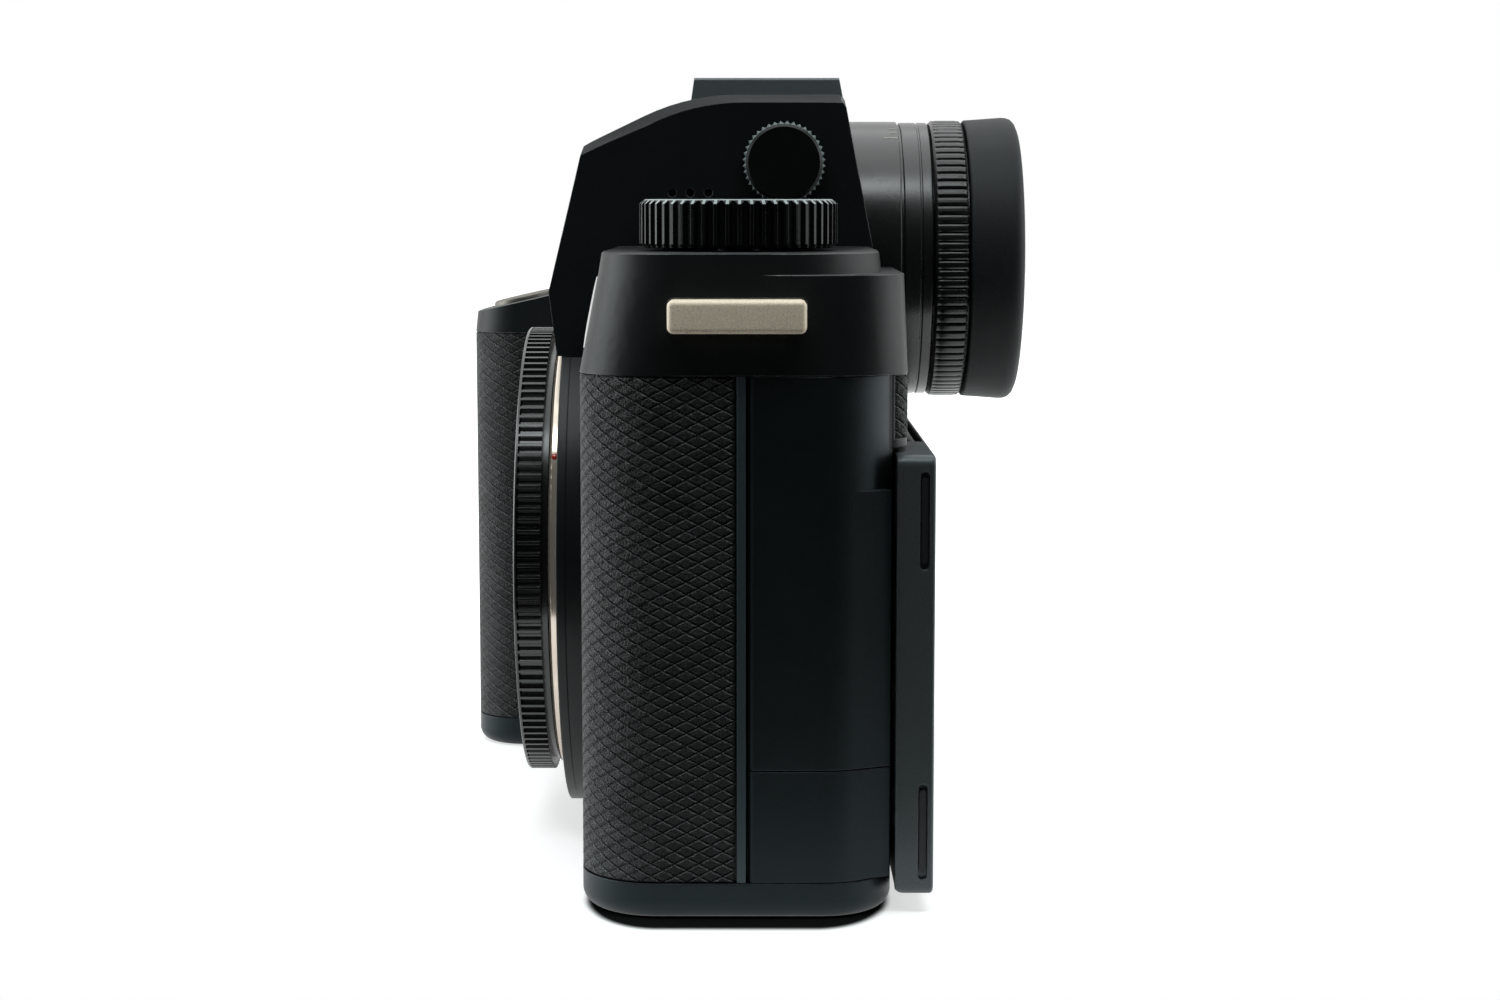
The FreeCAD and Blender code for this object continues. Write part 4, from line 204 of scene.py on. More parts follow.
def make_handled_surface():
    """Fine grain, softened edges, lighter edges for wear and for a painted edge highlight, and faint marks of
    handling.
    """
    group, given, result = node_group("handled_surface", [
        ("Colour", "Color", (0.01, 0.01, 0.01, 1)), ("Rubbed Colour", "Color", (0.05, 0.05, 0.05, 1)),
        ("Edge Wear And Highlight", "Float", 0.5), ("Roughness", "Float", 0.5), ("Grain Size", "Float", 0.2),
        ("Grain Height", "Float", 0.01), ("Edge", "Float", 0.2), ("Height", "Float", 0.0),
    ], [("Colour", "Color"), ("Roughness", "Float"), ("Normal", "Vector")])
    place = add_node(group, "TexCoord").outputs["Object"]
    soft = add_node(group, "Bevel", {"samples": 6},
                    Radius=maths(group, "MULTIPLY", given["Edge"], 0.001)).outputs[0]
    flat = add_node(group, "NewGeometry").outputs["Normal"]
    facing = add_node(group, "VectorMath", {"operation": "DOT_PRODUCT"}, _0=soft, _1=flat).outputs["Value"]
    edge = mapped(group, facing, 0.99, 0.80)
    fineness = maths(group, "DIVIDE", 1000.0, given["Grain Size"])
    grain = add_node(group, "TexNoise", Vector=place, Scale=fineness, Detail=2.0,
                     Roughness=0.6).outputs["Fac"]
    blotches = add_node(group, "TexNoise", Vector=place, Scale=70.0, Detail=4.0,
                        Roughness=0.65).outputs["Fac"]
    edge_wear_and_highlight = maths(group, "MULTIPLY", edge, mapped(group, blotches, 0.42, 0.62))
    edge_wear_and_highlight = maths(group, "MULTIPLY", edge_wear_and_highlight, given["Edge Wear And Highlight"])
    speck = mapped(group, grain, 0.3, 0.7, 0.82, 1.18)
    toned = add_node(group, "Mix", {"data_type": "RGBA", "blend_type": "MULTIPLY"}, _0=1.0,
                     _6=given["Colour"], _7=speck)
    worn = add_node(group, "Mix", {"data_type": "RGBA"}, _0=edge_wear_and_highlight, _6=toned.outputs[2],
                    _7=given["Rubbed Colour"])
    group.links.new(worn.outputs[2], result["Colour"])
    shine = mapped(group, blotches, 0.3, 0.7, -0.05, 0.05)
    rough = add_node(group, "Math", {"operation": "ADD", "use_clamp": True}, _0=given["Roughness"], _1=shine)
    group.links.new(rough.outputs[0], result["Roughness"])
    depth = maths(group, "MULTIPLY", given["Grain Height"], 0.001)
    raised = add_node(group, "Bump", Strength=1.0, Distance=depth, Height=grain, Normal=soft).outputs[0]
    formed = add_node(group, "Bump", Strength=1.0, Distance=0.001, Height=given["Height"], Normal=raised)
    group.links.new(formed.outputs[0], result["Normal"])
    return group


handled_surface = make_handled_surface()


def srgb(red, green, blue):
    """A colour as it is seen on screen, 0 to 255, for a shader."""
    parts = [part / 255 for part in (red, green, blue)]
    return tuple(
        part / 12.92 if part < 10 / 255 else ((part + 0.055) / 1.055) ** 2.4 for part in parts) + (1,)


def finish(name, colour, edge_wear_and_highlight_colour, edge_wear_and_highlight_amount=0.5, roughness=0.5, grain=0.2, height=0.01, edge=0.2, metallic=0.0,
           shine=0.5, **sockets):
    """A material of one surface, its colours as on screen, its grain, grain height and edge round in mm."""
    material = bpy.data.materials.new(name)
    material.use_nodes = True
    tree = material.node_tree
    shader = tree.nodes["Principled BSDF"]
    surface = tree.nodes.new("ShaderNodeGroup")
    surface.node_tree = handled_surface
    surface.name = "surface"
    given = {"Colour": srgb(*colour), "Rubbed Colour": srgb(*edge_wear_and_highlight_colour), "Edge Wear And Highlight": edge_wear_and_highlight_amount,
             "Roughness": roughness, "Grain Size": grain, "Grain Height": height, "Edge": edge}
    for key, value in given.items():
        surface.inputs[key].default_value = value
    tree.links.new(surface.outputs["Colour"], shader.inputs["Base Color"])
    tree.links.new(surface.outputs["Roughness"], shader.inputs["Roughness"])
    tree.links.new(surface.outputs["Normal"], shader.inputs["Normal"])
    shader.inputs["Metallic"].default_value = metallic
    shader.inputs["Specular IOR Level"].default_value = shine
    for key, value in sockets.items():
        shader.inputs[key.replace("_", " ")].default_value = value
    return material


def dress(material, *names):
    """Gives CAD nodes their material."""
    for name in names:
        slots = nodes[name].material_slots
        for place in slots:
            place.material = material
        if not slots:
            nodes[name].data.materials.append(material)


cold_sheen = (0.78, 1.0, 1.08, 1)
base_paint = finish("base_paint", (11, 15, 17), (110, 112, 112), 0.5, 0.42, 0.16, 0.016, 0.3, shine=0.28,
                    Specular_Tint=cold_sheen)
socket_steel = finish("socket_steel", (150, 148, 144), (190, 188, 184), 0.3, 0.30, 0.10, 0.004, 0.1, 1.0)
dress(base_paint, "base_plate")
dress(socket_steel, "tripod_socket")


# Front and rear castings ----------------------------------------------------
# Two magnesium shells screwed together, painted with the same fine-grained satin black.
# What shows of them is the lens tower, the brow over the screen and a narrow rim round the leather.

casting_paint = finish("casting_paint", (16, 19, 21), (92, 94, 96), 0.35, 0.40, 0.16, 0.016, 0.35, shine=0.32)
dress(casting_paint, "front_casing", "rear_casing")


# Side ribs ------------------------------------------------------------------
# A narrow metal strip on each side covers the joint of the two castings, between leather and doors.
# It is anodised a cold blue-black and sits a hair below both.

rib_black = finish("rib_black", (52, 62, 66), (90, 94, 98), 0.4, 0.38, 0.14, 0.01, 0.2, shine=0.45,
                   Specular_Tint=cold_sheen)
dress(rib_black, "rib_socket_side", "rib_grip_side")


# Leather --------------------------------------------------------------------
# Black covering embossed with rows of flat lozenges, glued into shallow beds round the front and the grip,
# on the brow beside the eyepiece and under the thumb. Each lozenge is finely wrinkled, with bevelled edges.
# On the front, grip and brow skins the grooves carry painted shade, with a painted highlight beside them.

lozenge_wide = 3.05
lozenge_tall = 1.6
groove_deep = 0.26


def rounded_path(corners):
    """A path in mm with rounded corners, given as (x, y, radius).
    Gives its length, and what gives the point and the outward normal at s. The outside is to the left."""
    points = [Vector(corner[:2]) for corner in corners]
    pieces = []
    start = points[0]
    for before, at, after, corner in zip(points, points[1:], points[2:], corners[1:]):
        way_in = (at - before).normalized()
        way_out = (after - at).normalized()
        turn = atan2(way_in.x * way_out.y - way_in.y * way_out.x, way_in.dot(way_out))
        side = 1 if turn > 0 else -1
        radius = corner[2]
        first = at - way_in * radius * abs(sin(turn / 2) / cos(turn / 2))
        pieces.append(((first - start).length, start, way_in, 0, 0))
        left = Vector((-way_in.y, way_in.x))
        middle = first + left * radius * side
        pieces.append((abs(turn) * radius, middle, -left * side, radius, side))
        start = at + way_out * (at - first).length
    pieces.append(((points[-1] - start).length, start, (points[-1] - points[-2]).normalized(), 0, 0))

    def at_length(s):
        for long, place, way, radius, side in pieces:
            if s <= long:
                break
            s -= long
        if s > long:
            s = long
        if not radius:
            return place + way * s, Vector((-way.y, way.x))
        angle = atan2(way.y, way.x) + side * s / radius
        arm = Vector((cos(angle), sin(angle)))
        return place + arm * radius, arm * -side
    return sum(piece[0] for piece in pieces), at_length


def pick(piece, test, kind="FACE"):
    """Opens a piece for editing, with those faces, edges or points selected that pass a test."""
    if bpy.context.mode == "EDIT_MESH":
        bpy.ops.object.mode_set(mode="OBJECT")
    mesh = piece.data
    for part in (mesh.vertices, mesh.edges, mesh.polygons):
        part.foreach_set("select", [False] * len(part))
    if kind == "FACE":
        chosen = [test(face.center, face.normal) for face in mesh.polygons]
        mesh.polygons.foreach_set("select", chosen)
    elif kind == "EDGE":
        ends = [point.co for point in mesh.vertices]
        chosen = [test(ends[edge.vertices[0]], ends[edge.vertices[1]]) for edge in mesh.edges]
        mesh.edges.foreach_set("select", chosen)
    else:
        chosen = [test(point.co, point.normal) for point in mesh.vertices]
        mesh.vertices.foreach_set("select", chosen)
    bpy.context.tool_settings.mesh_select_mode = (kind == "VERT", kind == "EDGE", kind == "FACE")
    bpy.ops.object.mode_set(mode="EDIT")
    return sum(chosen)


def apply_modifier(piece, kind, **settings):
    """Adds a modifier with its settings and applies it."""
    modifier = piece.modifiers.new(kind.lower(), kind)
    for key, value in settings.items():
        setattr(modifier, key, value)
    bpy.ops.object.modifier_apply(modifier=modifier.name)


def smoothed(degrees):
    """Closes the editing and shades the piece smooth, but for edges above an angle."""
    if bpy.context.mode == "EDIT_MESH":
        bpy.ops.object.mode_set(mode="OBJECT")
    bpy.ops.object.shade_smooth_by_angle(angle=radians(degrees))


def leather_skin(name, corners, low, high, length=None, hidden=None, deep=groove_deep):
    """Embossed covering along a path, each lozenge eight steps of the mesh wide and tall, its rim sunk.
    It keeps where each point lies between the rising and the falling grooves, and how near the corner is."""
    whole, at_length = rounded_path(corners)
    length = length or whole
    columns = round(length / lozenge_wide * 8)
    rows = round((high - low) / lozenge_tall * 8)
    bpy.ops.mesh.primitive_grid_add(x_subdivisions=columns, y_subdivisions=rows, size=1)
    skin = bpy.context.object
    skin.name = name
    along = [at_length(length * i / columns) for i in range(columns + 1)]
    sunk = (1.0, 0.10, 0.14, 0.22, 0.24)
    turning = [along[max(i - 1, 0)][1].angle(along[min(i + 1, columns)][1]) > 0.001
               for i in range(columns + 1)]
    round_share = [sum(turning[max(i - 13, 0):i + 1]) / 14 for i in range(columns + 1)]
    rising, falling, rounded = [], [], []
    for point in skin.data.vertices:
        i = round((point.co.x + 0.5) * columns)
        j = round((point.co.y + 0.5) * rows)
        first, second = (i + j) % 8, (i - j) % 8
        step = min(first, 8 - first, second, 8 - second)
        if i in (0, columns) or j in (0, rows):
            step = 0
        groove = sunk[step]
        place, out = along[i]
        place = place - out * groove * deep
        point.co = Vector((place.x, place.y, low + (high - low) * j / rows)) * 0.001
        rising.append((i + j) / 8)
        falling.append((i - j) / 8)
        rounded.append(round_share[i])
    skin.data.attributes.new("rising", "FLOAT", "POINT").data.foreach_set("value", rising)
    skin.data.attributes.new("falling", "FLOAT", "POINT").data.foreach_set("value", falling)
    skin.data.attributes.new("rounded", "FLOAT", "POINT").data.foreach_set("value", rounded)
    if hidden:
        pick(skin, lambda centre, normal: hidden(centre * 1000))
        bpy.ops.mesh.delete(type="FACE")
    pick(skin, lambda centre, normal: True)
    bpy.ops.mesh.flip_normals()
    bpy.ops.object.mode_set(mode="OBJECT")
    apply_modifier(skin, "SOLIDIFY", thickness=0.00065, offset=-1.0, use_rim_only=True)
    smoothed(50)
    return skin


leather_black = finish("leather_black", (26, 29, 29), (60, 64, 62), 0.15, 0.60, 0.30, 0.02, 0.05, shine=0.5)
tree = leather_black.node_tree
surface = tree.nodes["surface"]
place = add_node(tree, "TexCoord").outputs["Object"]
rising = attribute(tree, "rising")
falling = attribute(tree, "falling")
corner_share = attribute(tree, "rounded")
rising_fade_on_corner = maths(tree, "MULTIPLY", corner_share, 0.13)
wander = add_node(tree, "TexNoise", Vector=place, Scale=1300.0, Detail=2.0).outputs["Fac"]
wander = mapped(tree, wander, 0.3, 0.7, -0.035, 0.035)
rising = maths(tree, "ADD", rising, wander)
falling = maths(tree, "SUBTRACT", falling, wander)


def beside_groove(above):
    """Distance to the nearest of the lines a little above or below the grooves, in lozenges.
    Where the covering turns round the body's corner, the rising grooves fade out."""
    up = maths(tree, "PINGPONG", maths(tree, "SUBTRACT", rising, above), 0.5)
    down = maths(tree, "PINGPONG", maths(tree, "ADD", falling, above), 0.5)
    return maths(tree, "MINIMUM", maths(tree, "ADD", up, rising_fade_on_corner), down)


uneven = add_node(tree, "TexNoise", Vector=place, Scale=900.0, Detail=3.0).outputs["Color"]
bent = add_node(tree, "VectorMath", {"operation": "MULTIPLY_ADD"}, _0=uneven, _1=(0.0006, 0.0006, 0.0006),
                _2=place)
wrinkles = add_node(tree, "TexVoronoi", {"feature": "DISTANCE_TO_EDGE"}, Vector=bent.outputs[0], Scale=2100.0)
wrinkled = mapped(tree, wrinkles.outputs["Distance"], 0.0, 0.25, 0.0, 0.11)
pressed = mapped(tree, beside_groove(0.0), 0.0, 0.11, 0.0, 0.16, smooth=True)
tree.links.new(maths(tree, "ADD", wrinkled, pressed), surface.inputs["Height"])
# Painted shade darkens each groove, and a painted highlight lightens a thin line just beside it, as if lit
# from above; the lozenges between are lighter on the body's corner than on the flat.
groove_painted_shade = mapped(tree, beside_groove(0.035), 0.03, 0.08, 0.05, 1.0, smooth=True)
flat_tone = mapped(tree, corner_share, 0.0, 1.0, 0.7, 1.5)
painted_edge_highlight = mapped(tree, beside_groove(-0.075), 0.03, 0.10, 5.0, flat_tone, smooth=True)
painted_groove_light = maths(tree, "MULTIPLY", groove_painted_shade, painted_edge_highlight)
dusty = add_node(tree, "TexNoise", Vector=place, Scale=240.0, Detail=5.0).outputs["Fac"]
# The painted groove light, varied by random patches, multiplies the leather's colour.
depth = maths(tree, "MULTIPLY", painted_groove_light, mapped(tree, dusty, 0.3, 0.7, 0.8, 1.25))
tinted = add_node(tree, "Mix", {"data_type": "RGBA", "blend_type": "MULTIPLY", "name": "tint"}, _0=1.0,
                  _6=surface.outputs["Colour"], _7=depth)
tree.links.new(tinted.outputs[2], tree.nodes["Principled BSDF"].inputs["Base Color"])
ridge_shine = mapped(tree, depth, 0.2, 4.0, 0.08, 1.0)
tree.links.new(ridge_shine, tree.nodes["Principled BSDF"].inputs["Specular IOR Level"])
grip_leather = leather_black.copy()
grip_leather.name = "grip_leather"
# On the grip the painted groove shade and highlight are kept faint.
grip_leather.node_tree.nodes["tint"].inputs[0].default_value = 0.14

skin_low, skin_high = 4.85, 68.95
lens_z = 39.2
front_skin = leather_skin(
    "front_skin", [(64.5, -1.9), (64.5, -21.75, 10), (14.5, -21.75)], skin_low, skin_high,
    hidden=lambda at: hypot(at.x, at.z - lens_z) < 37.0)
grip_skin = leather_skin(
    "grip_skin", [(-30, -21.75), (-41, -21.75, 3), (-43, -45.75, 8), (-70, -45.75, 10), (-70, -1.9)],
    skin_low, skin_high,
    hidden=lambda at: at.x > -42 and (hypot(at.x, at.z - lens_z) < 37.0
                                      or hypot(at.x + 31.44, at.z - 10.9) < 4.9), deep=0.12)
brow_skin = leather_skin("brow_skin", [(22.6, 20.2), (58.4, 20.2, 4.1), (58.4, 10)], 60.8, 68.6, length=35.6)
for skin, node in ((front_skin, "leather_front"), (grip_skin, "leather_grip"), (brow_skin, "leather_brow")):
    skin.data.materials.append(grip_leather if skin is grip_skin else leather_black)
    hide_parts(node)
    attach(skin, "camera")

thumb_leather = finish("thumb_leather", (25, 28, 28), (60, 64, 62), 0.2, 0.60, 0.30, 0.02, 0.2, shine=0.5)
tree = thumb_leather.node_tree
place = add_node(tree, "TexCoord").outputs["Object"]
apart = add_node(tree, "SeparateXYZ", Vector=place)
across = maths(tree, "DIVIDE", apart.outputs["X"], lozenge_wide * 0.001)
upward = maths(tree, "DIVIDE", apart.outputs["Z"], lozenge_tall * 0.001)
rising = maths(tree, "PINGPONG", maths(tree, "ADD", across, upward), 0.5)
falling = maths(tree, "PINGPONG", maths(tree, "SUBTRACT", across, upward), 0.5)
lozenges = mapped(tree, maths(tree, "MINIMUM", rising, falling), 0.0, 0.24, 0.0, groove_deep, smooth=True)
tree.links.new(lozenges, tree.nodes["surface"].inputs["Height"])
dress(thumb_leather, "leather_thumb")


# Top cover ------------------------------------------------------------------
# Third casting: both decks, the grip's slope and the viewfinder housing in one, painted like the others.
# Its edges are crisp, partly worn light and partly lit by a painted highlight, and a thin dark joint runs
# round it above the leather.

# The cover's light edge colour is partly worn paint and partly a painted highlight along its crisp edges.
cover_paint = finish("cover_paint", (20, 24, 25), (190, 194, 194), 1.1, 0.40, 0.15, 0.022, 0.13, shine=0.22)
hump_side, tail_y, crown_z = 22.5, 13.0, 105.3
deck_z = 84.3
band_wide = 1.1


def fit(piece, material, body, slot, *replaced):
    """Gives a new piece its material and its body, and puts it in place of CAD nodes; the slot is not used.
    """
    piece.data.materials.append(material)
    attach(piece, body)
    if replaced:
        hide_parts(*replaced)


def reshaped(name, node, move):
    """A copy of a CAD node with its triangles joined, and each of its points moved by a rule given in mm."""
    piece = bpy.data.objects.new(name, nodes[node].data.copy())
    bpy.context.scene.collection.objects.link(piece)
    piece.data.materials.clear()
    for point in piece.data.vertices:
        point.co = Vector(move(*(point.co * 1000))) * 0.001
    for other in bpy.context.selected_objects:
        other.select_set(False)
    piece.select_set(True)
    bpy.context.view_layer.objects.active = piece
    bpy.context.tool_settings.mesh_select_mode = (True, False, False)
    bpy.ops.object.mode_set(mode="EDIT")
    bpy.ops.mesh.select_all(action="SELECT")
    bpy.ops.mesh.remove_doubles(threshold=0.000001)
    bpy.ops.object.mode_set(mode="OBJECT")
    bpy.ops.mesh.customdata_custom_splitnormals_clear()
    smoothed(30)
    apply_modifier(piece, "WEIGHTED_NORMAL", keep_sharp=True, weight=100)
    return piece


def finder_side(x, y, z):
    """The side face runs out to the front and rear edges, and leaves one narrow band below the roof."""
    rear = tail_y + max(crown_z - z, 0) * 4.1 / 21.0
    if y < -25.0 and z < 78.5:
        return x, y - 1.3, z
    if 78.5 <= z < 98.1 and y < -19.8:
        if z < 96.4:
            return x, -28.1 + (z - 78.1) * 4.9 / 20.2, z
        if z < 96.8:
            return x, -23.54, 96.92
        return x, y - 0.9, 97.308 + (y - 0.9 + 22.724) * 0.4794
    if z > 103.55 and y > 10.5:
        return x, min(y + 1.3, 13.2), crown_z - band_wide
    if z > 100.7 and y < 10.5:
        return x, y, z + 1.3 - band_wide
    if y > 10.5 and abs(y + 1.3 - rear) < 0.45:
        return x, rear, z
    return x, y, z


def brow(x, y, z):
    """The corner between the front and the roof is sharper than its five millimetre round."""
    arm = Vector((y + 18.90, z - 94.82))
    if z < 95.9 or y > -21.0 or abs(arm.length - 5.0) > 0.05:
        return x, y, z
    steep, flat = Vector((-0.9718, 0.2357)), Vector((-0.4323, 0.9018))
    grow = 5.0 / max(arm.dot(steep), arm.dot(flat))
    arm = arm * (1 + (grow - 1) * 0.8)
    return x, arm.x - 18.90, arm.y + 94.82


def deck_rim(x, y, z):
    """A narrower bevel along the shoulder, and its rear edge a little farther back."""
    inner = z > deck_z - 0.1
    if hypot(x - 45.5, y + 1.5) < 4 or x < 22.4:
        return x, y, z
    out = Vector((0, 0))
    behind = 0.0
    if y < -8.32 + 0.01:
        out = Vector((x - 52.49, y + 8.32)) if x > 52.49 else Vector((0, -1))
    elif y > 0.39:
        out = Vector((x - 47.49, y - 0.4)) if x > 47.49 else Vector((0, 1))
        behind = 0.7
    else:
        out = Vector((1, 0))
    out = out.normalized() * (0.4 if inner else 0.0)
    return x + out.x, y + out.y + behind, z + (0.0 if inner else 0.4)


def finer_cover(x, y, z):
    """Where each point of the casting goes."""
    side = 1 if x > 0 else -1
    if 21.3 < abs(x) < 22.45 and y > 15.5 and 81.0 < z < deck_z - 0.5:
        return hump_side * side, y + 0.7, z + (0.4 if z > 83.5 else 0.0)
    if abs(abs(x) - hump_side) < 0.03 and not (y > 15.0 and y < 15.6):
        return finder_side(x, y, z)
    if abs(abs(x) - 21.2) < 0.03:
        return brow(x, y, z)
    if x > 22 and abs(z - deck_z) < 0.02 or abs(z - deck_z + 0.6) < 0.02:
        return deck_rim(x, y, z)
    if x > 22 and abs(z - 81.5) < 0.02 and y > 1.35 and (
            abs(y - 16.3) < 0.03 or abs(hypot(x - 48.3, y - 1.3) - 15) < 0.06):
        return x, y + 0.7, z
    return x, y, z


cover = reshaped("cover", "top_cover", finer_cover)
fit(cover, cover_paint, "camera", "body_paint", "top_cover")

window_low, window_high = 72.0, 81.1
window_lean = 2.4 / 12.4
bpy.ops.mesh.primitive_grid_add(x_subdivisions=12, y_subdivisions=6, size=1)
pane = bpy.context.object
pane.name = "window_pane"
for point in pane.data.vertices:
    across, up = point.co.x * 2, point.co.y * 2
    bulge = 0.5 * (1 - across ** 4) * (1 - 0.3 * up ** 4)
    z = (window_low + window_high) / 2 + up * (window_high - window_low) / 2
    point.co = Vector((47.6 + across * 6.6, -21.75 + (z - 69.1) * window_lean + 0.02 - bulge, z)) * 0.001
apply_modifier(pane, "SOLIDIFY", thickness=0.0008, offset=-1.0)
smoothed(40)
window_glass = finish("window_glass", (28, 30, 32), (60, 62, 64), 0.0, 0.08, 0.3, 0.0, 0.1, shine=0.8,
                      Coat_Weight=1.0, Coat_Roughness=0.04)
fit(pane, window_glass, "camera", "window_gloss", "front_window")


# Accessory shoe -------------------------------------------------------------
# A dark satin metal channel screwed to the viewfinder housing, with gilt contacts in a black plate.
# Its lips are worn where accessories slide in.


def slanted_ends(x, y, z):
    """The shoe's ends lean in towards its lips."""
    rise = (z - 104.3) / 3.8
    if y < -8.3:
        return x, y - 0.1 + 0.55 * rise, z
    if y > 13.1:
        return x, y + 0.25 - 0.75 * rise, z
    return x, y, z


shoe = reshaped("shoe", "accessory_shoe", slanted_ends)
shoe_metal = finish("shoe_metal", (94, 102, 104), (160, 162, 160), 0.7, 0.45, 0.12, 0.010, 0.12, 0.1)
fit(shoe, shoe_metal, "camera", "satin_metal", "accessory_shoe")
contact_plate = finish("contact_plate", (14, 14, 15), (40, 40, 40), 0.2, 0.5, 0.2, 0.01, 0.1)
dress(contact_plate, "shoe_contacts")


# Eyepiece -------------------------------------------------------------------
# A turned black barrel with a ribbed focusing ring on it, closed by a coated lens and a soft rubber cup.
# Three pale strokes of paint on the barrel mark the ring's setting.

eye_z = 82.2


def turned(name, corners, steps, axis, centre, smooth=30):
    """A turned piece: its profile, as (radius, place along the axis) in mm, drawn and spun round."""
    centre, axis = Vector(centre) * 0.001, Vector(axis).normalized()
    out = axis.orthogonal().normalized()
    places = [centre + (out * radius + axis * along) * 0.001 for radius, along in corners]
    bpy.ops.mesh.primitive_plane_add(size=0.001, location=places[0])
    piece = bpy.context.object
    piece.name = name
    bpy.ops.object.transform_apply(location=True, rotation=True, scale=True)
    bpy.context.tool_settings.mesh_select_mode = (True, False, False)
    bpy.ops.object.mode_set(mode="EDIT")
    bpy.ops.mesh.select_all(action="SELECT")
    bpy.ops.mesh.merge(type="CENTER")
    for last, place in zip(places, places[1:]):
        bpy.ops.mesh.extrude_vertices_move(TRANSFORM_OT_translate={"value": place - last})
    bpy.ops.mesh.select_all(action="SELECT")
    bpy.ops.mesh.spin(steps=steps, angle=2 * pi, use_auto_merge=True, center=centre, axis=axis)
    bpy.ops.mesh.select_all(action="SELECT")
    bpy.ops.mesh.remove_doubles(threshold=0.000002)
    bpy.ops.mesh.normals_make_consistent(inside=False)
    smoothed(smooth)
    return piece


eye_centre = (0, 0, eye_z)
back = (0, 1, 0)
barrel = turned("barrel", [
    (12.6, 14.2), (20.0, 14.2), (20.0, 21.2), (19.85, 21.35), (19.3, 21.35), (19.3, 21.75), (19.75, 21.75),
    (19.85, 21.9),
    (19.85, 24.0), (19.7, 24.1), (19.7, 24.3), (19.85, 24.4), (19.85, 25.6), (19.6, 25.85), (17.7, 25.85),
    (17.7, 33.1),
    (13.6, 33.1), (13.6, 28.3), (12.6, 28.3), (12.6, 14.2)], 160, back, eye_centre)
barrel_black = finish("barrel_black", (9, 11, 12), (84, 84, 84), 0.12, 0.27, 0.30, 0.012, 0.15, shine=0.7)
fit(barrel, barrel_black, "camera", "body_paint", "eyepiece_barrel")

focus_ribs = 96
focus_ring = turned("focus_ring", [
    (17.75, 26.05), (19.75, 26.05), (20.1, 26.4), (20.1, 27.0), (20.15, 27.1), (20.15, 29.9), (20.1, 30.0),
    (20.1, 30.45),
    (19.85, 30.7), (17.75, 30.7), (17.75, 26.05)], focus_ribs * 4, back, eye_centre)
rib_step = 2 * pi / (focus_ribs * 4)


def in_groove(at, middle, ribs):
    """True at every fourth of the steps round the ring, between two ribs."""
    step = 2 * pi / (ribs * 4)
    return int((atan2(at.z - middle.z, at.x - middle.x) + 4 * pi) / step + 0.01) % 4 == 0


ring_middle = Vector(eye_centre) * 0.001
pick(focus_ring, lambda at, normal: in_groove(at, ring_middle, focus_ribs)
     and hypot(at.x, at.z - ring_middle.z) > 0.01995 and 0.0262 < at.y < 0.0306)
bpy.ops.mesh.inset(thickness=0.00008, depth=-0.00045)
bpy.ops.object.mode_set(mode="OBJECT")
ring_black = finish("ring_black", (9, 10, 11), (90, 94, 94), 0.3, 0.30, 0.25, 0.008, 0.10, shine=0.55)
fit(focus_ring, ring_black, "diopter_ring", "dark_metal", "diopter_ring")

cup = turned("cup", [
    (17.8, 31.1), (20.0, 31.1), (20.2, 31.3), (20.35, 33.5), (20.5, 35.5), (20.58, 36.6), (20.55, 37.3),
    (20.35, 37.9),
    (19.9, 38.35), (19.2, 38.65), (18.4, 38.75), (17.7, 38.6), (17.2, 38.2), (16.4, 36.6), (15.4, 34.9),
    (14.6, 34.0),
    (14.4, 33.4), (17.6, 33.4), (17.8, 33.2), (17.8, 31.1)], 160, back, eye_centre)
cup_rubber = finish("cup_rubber", (17, 22, 24), (36, 38, 40), 0.2, 0.60, 0.3, 0.02, 0.3, shine=0.30)
fit(cup, cup_rubber, "camera", "eyecup_rubber", "eyecup")

pale_paint = finish("pale_paint", (150, 152, 140), (120, 120, 112), 0.4, 0.5, 0.1, 0.006, 0.05)


def stroke(name, angle, near, far, wide):
    """A stroke of paint along the barrel, at an angle from the top towards the socket side."""
    bpy.ops.mesh.primitive_plane_add(size=1, location=(0, 0, 0))
    mark = bpy.context.object
    mark.name = name
    mark.scale = (wide * 0.001, (far - near) * 0.001, 1)
    mark.location = Vector((sin(angle) * 20.03, (near + far) / 2, eye_z + cos(angle) * 20.03)) * 0.001
    mark.rotation_euler = (0, angle, 0)
    bpy.ops.object.transform_apply(location=True, rotation=True, scale=True)
    apply_modifier(mark, "SOLIDIFY", thickness=0.00006, offset=-1.0)
    fit(mark, pale_paint, "camera", "body_paint")


stroke("long_stroke", radians(29.5), 19.0, 21.1, 0.35)
stroke("short_stroke_1", radians(25), 20.0, 21.1, 0.3)
stroke("short_stroke_2", radians(20.5), 20.0, 21.1, 0.3)

coated_lens = finish("coated_lens", (30, 34, 44), (30, 34, 44), 0.0, 0.03, 0.3, 0.0, 0.05, shine=0.7,
                     Transmission_Weight=0.6, Coat_Weight=1.0, Coat_Roughness=0.02)
dress(coated_lens, "eyepiece_lens")
inside_black = finish("inside_black", (12, 12, 12), (30, 30, 30), 0.1, 0.7, 0.3, 0.01, 0.1)
dress(inside_black, "finder_optics")


# Side knob ------------------------------------------------------------------
# A small black anodised knob on the side of the viewfinder housing, turned, with a ring of fine teeth.
# The teeth and the outer chamfer of the rim carry a painted highlight, the face is plain and flat.


def painted_highlight(piece, test):
    """Keeps in the mesh which faces carry a painted highlight, by a test of place and normal."""
    marks = [float(test(face.center, face.normal)) for face in piece.data.polygons]
    piece.data.attributes.new("painted_highlight", "FLOAT", "FACE").data.foreach_set("value", marks)


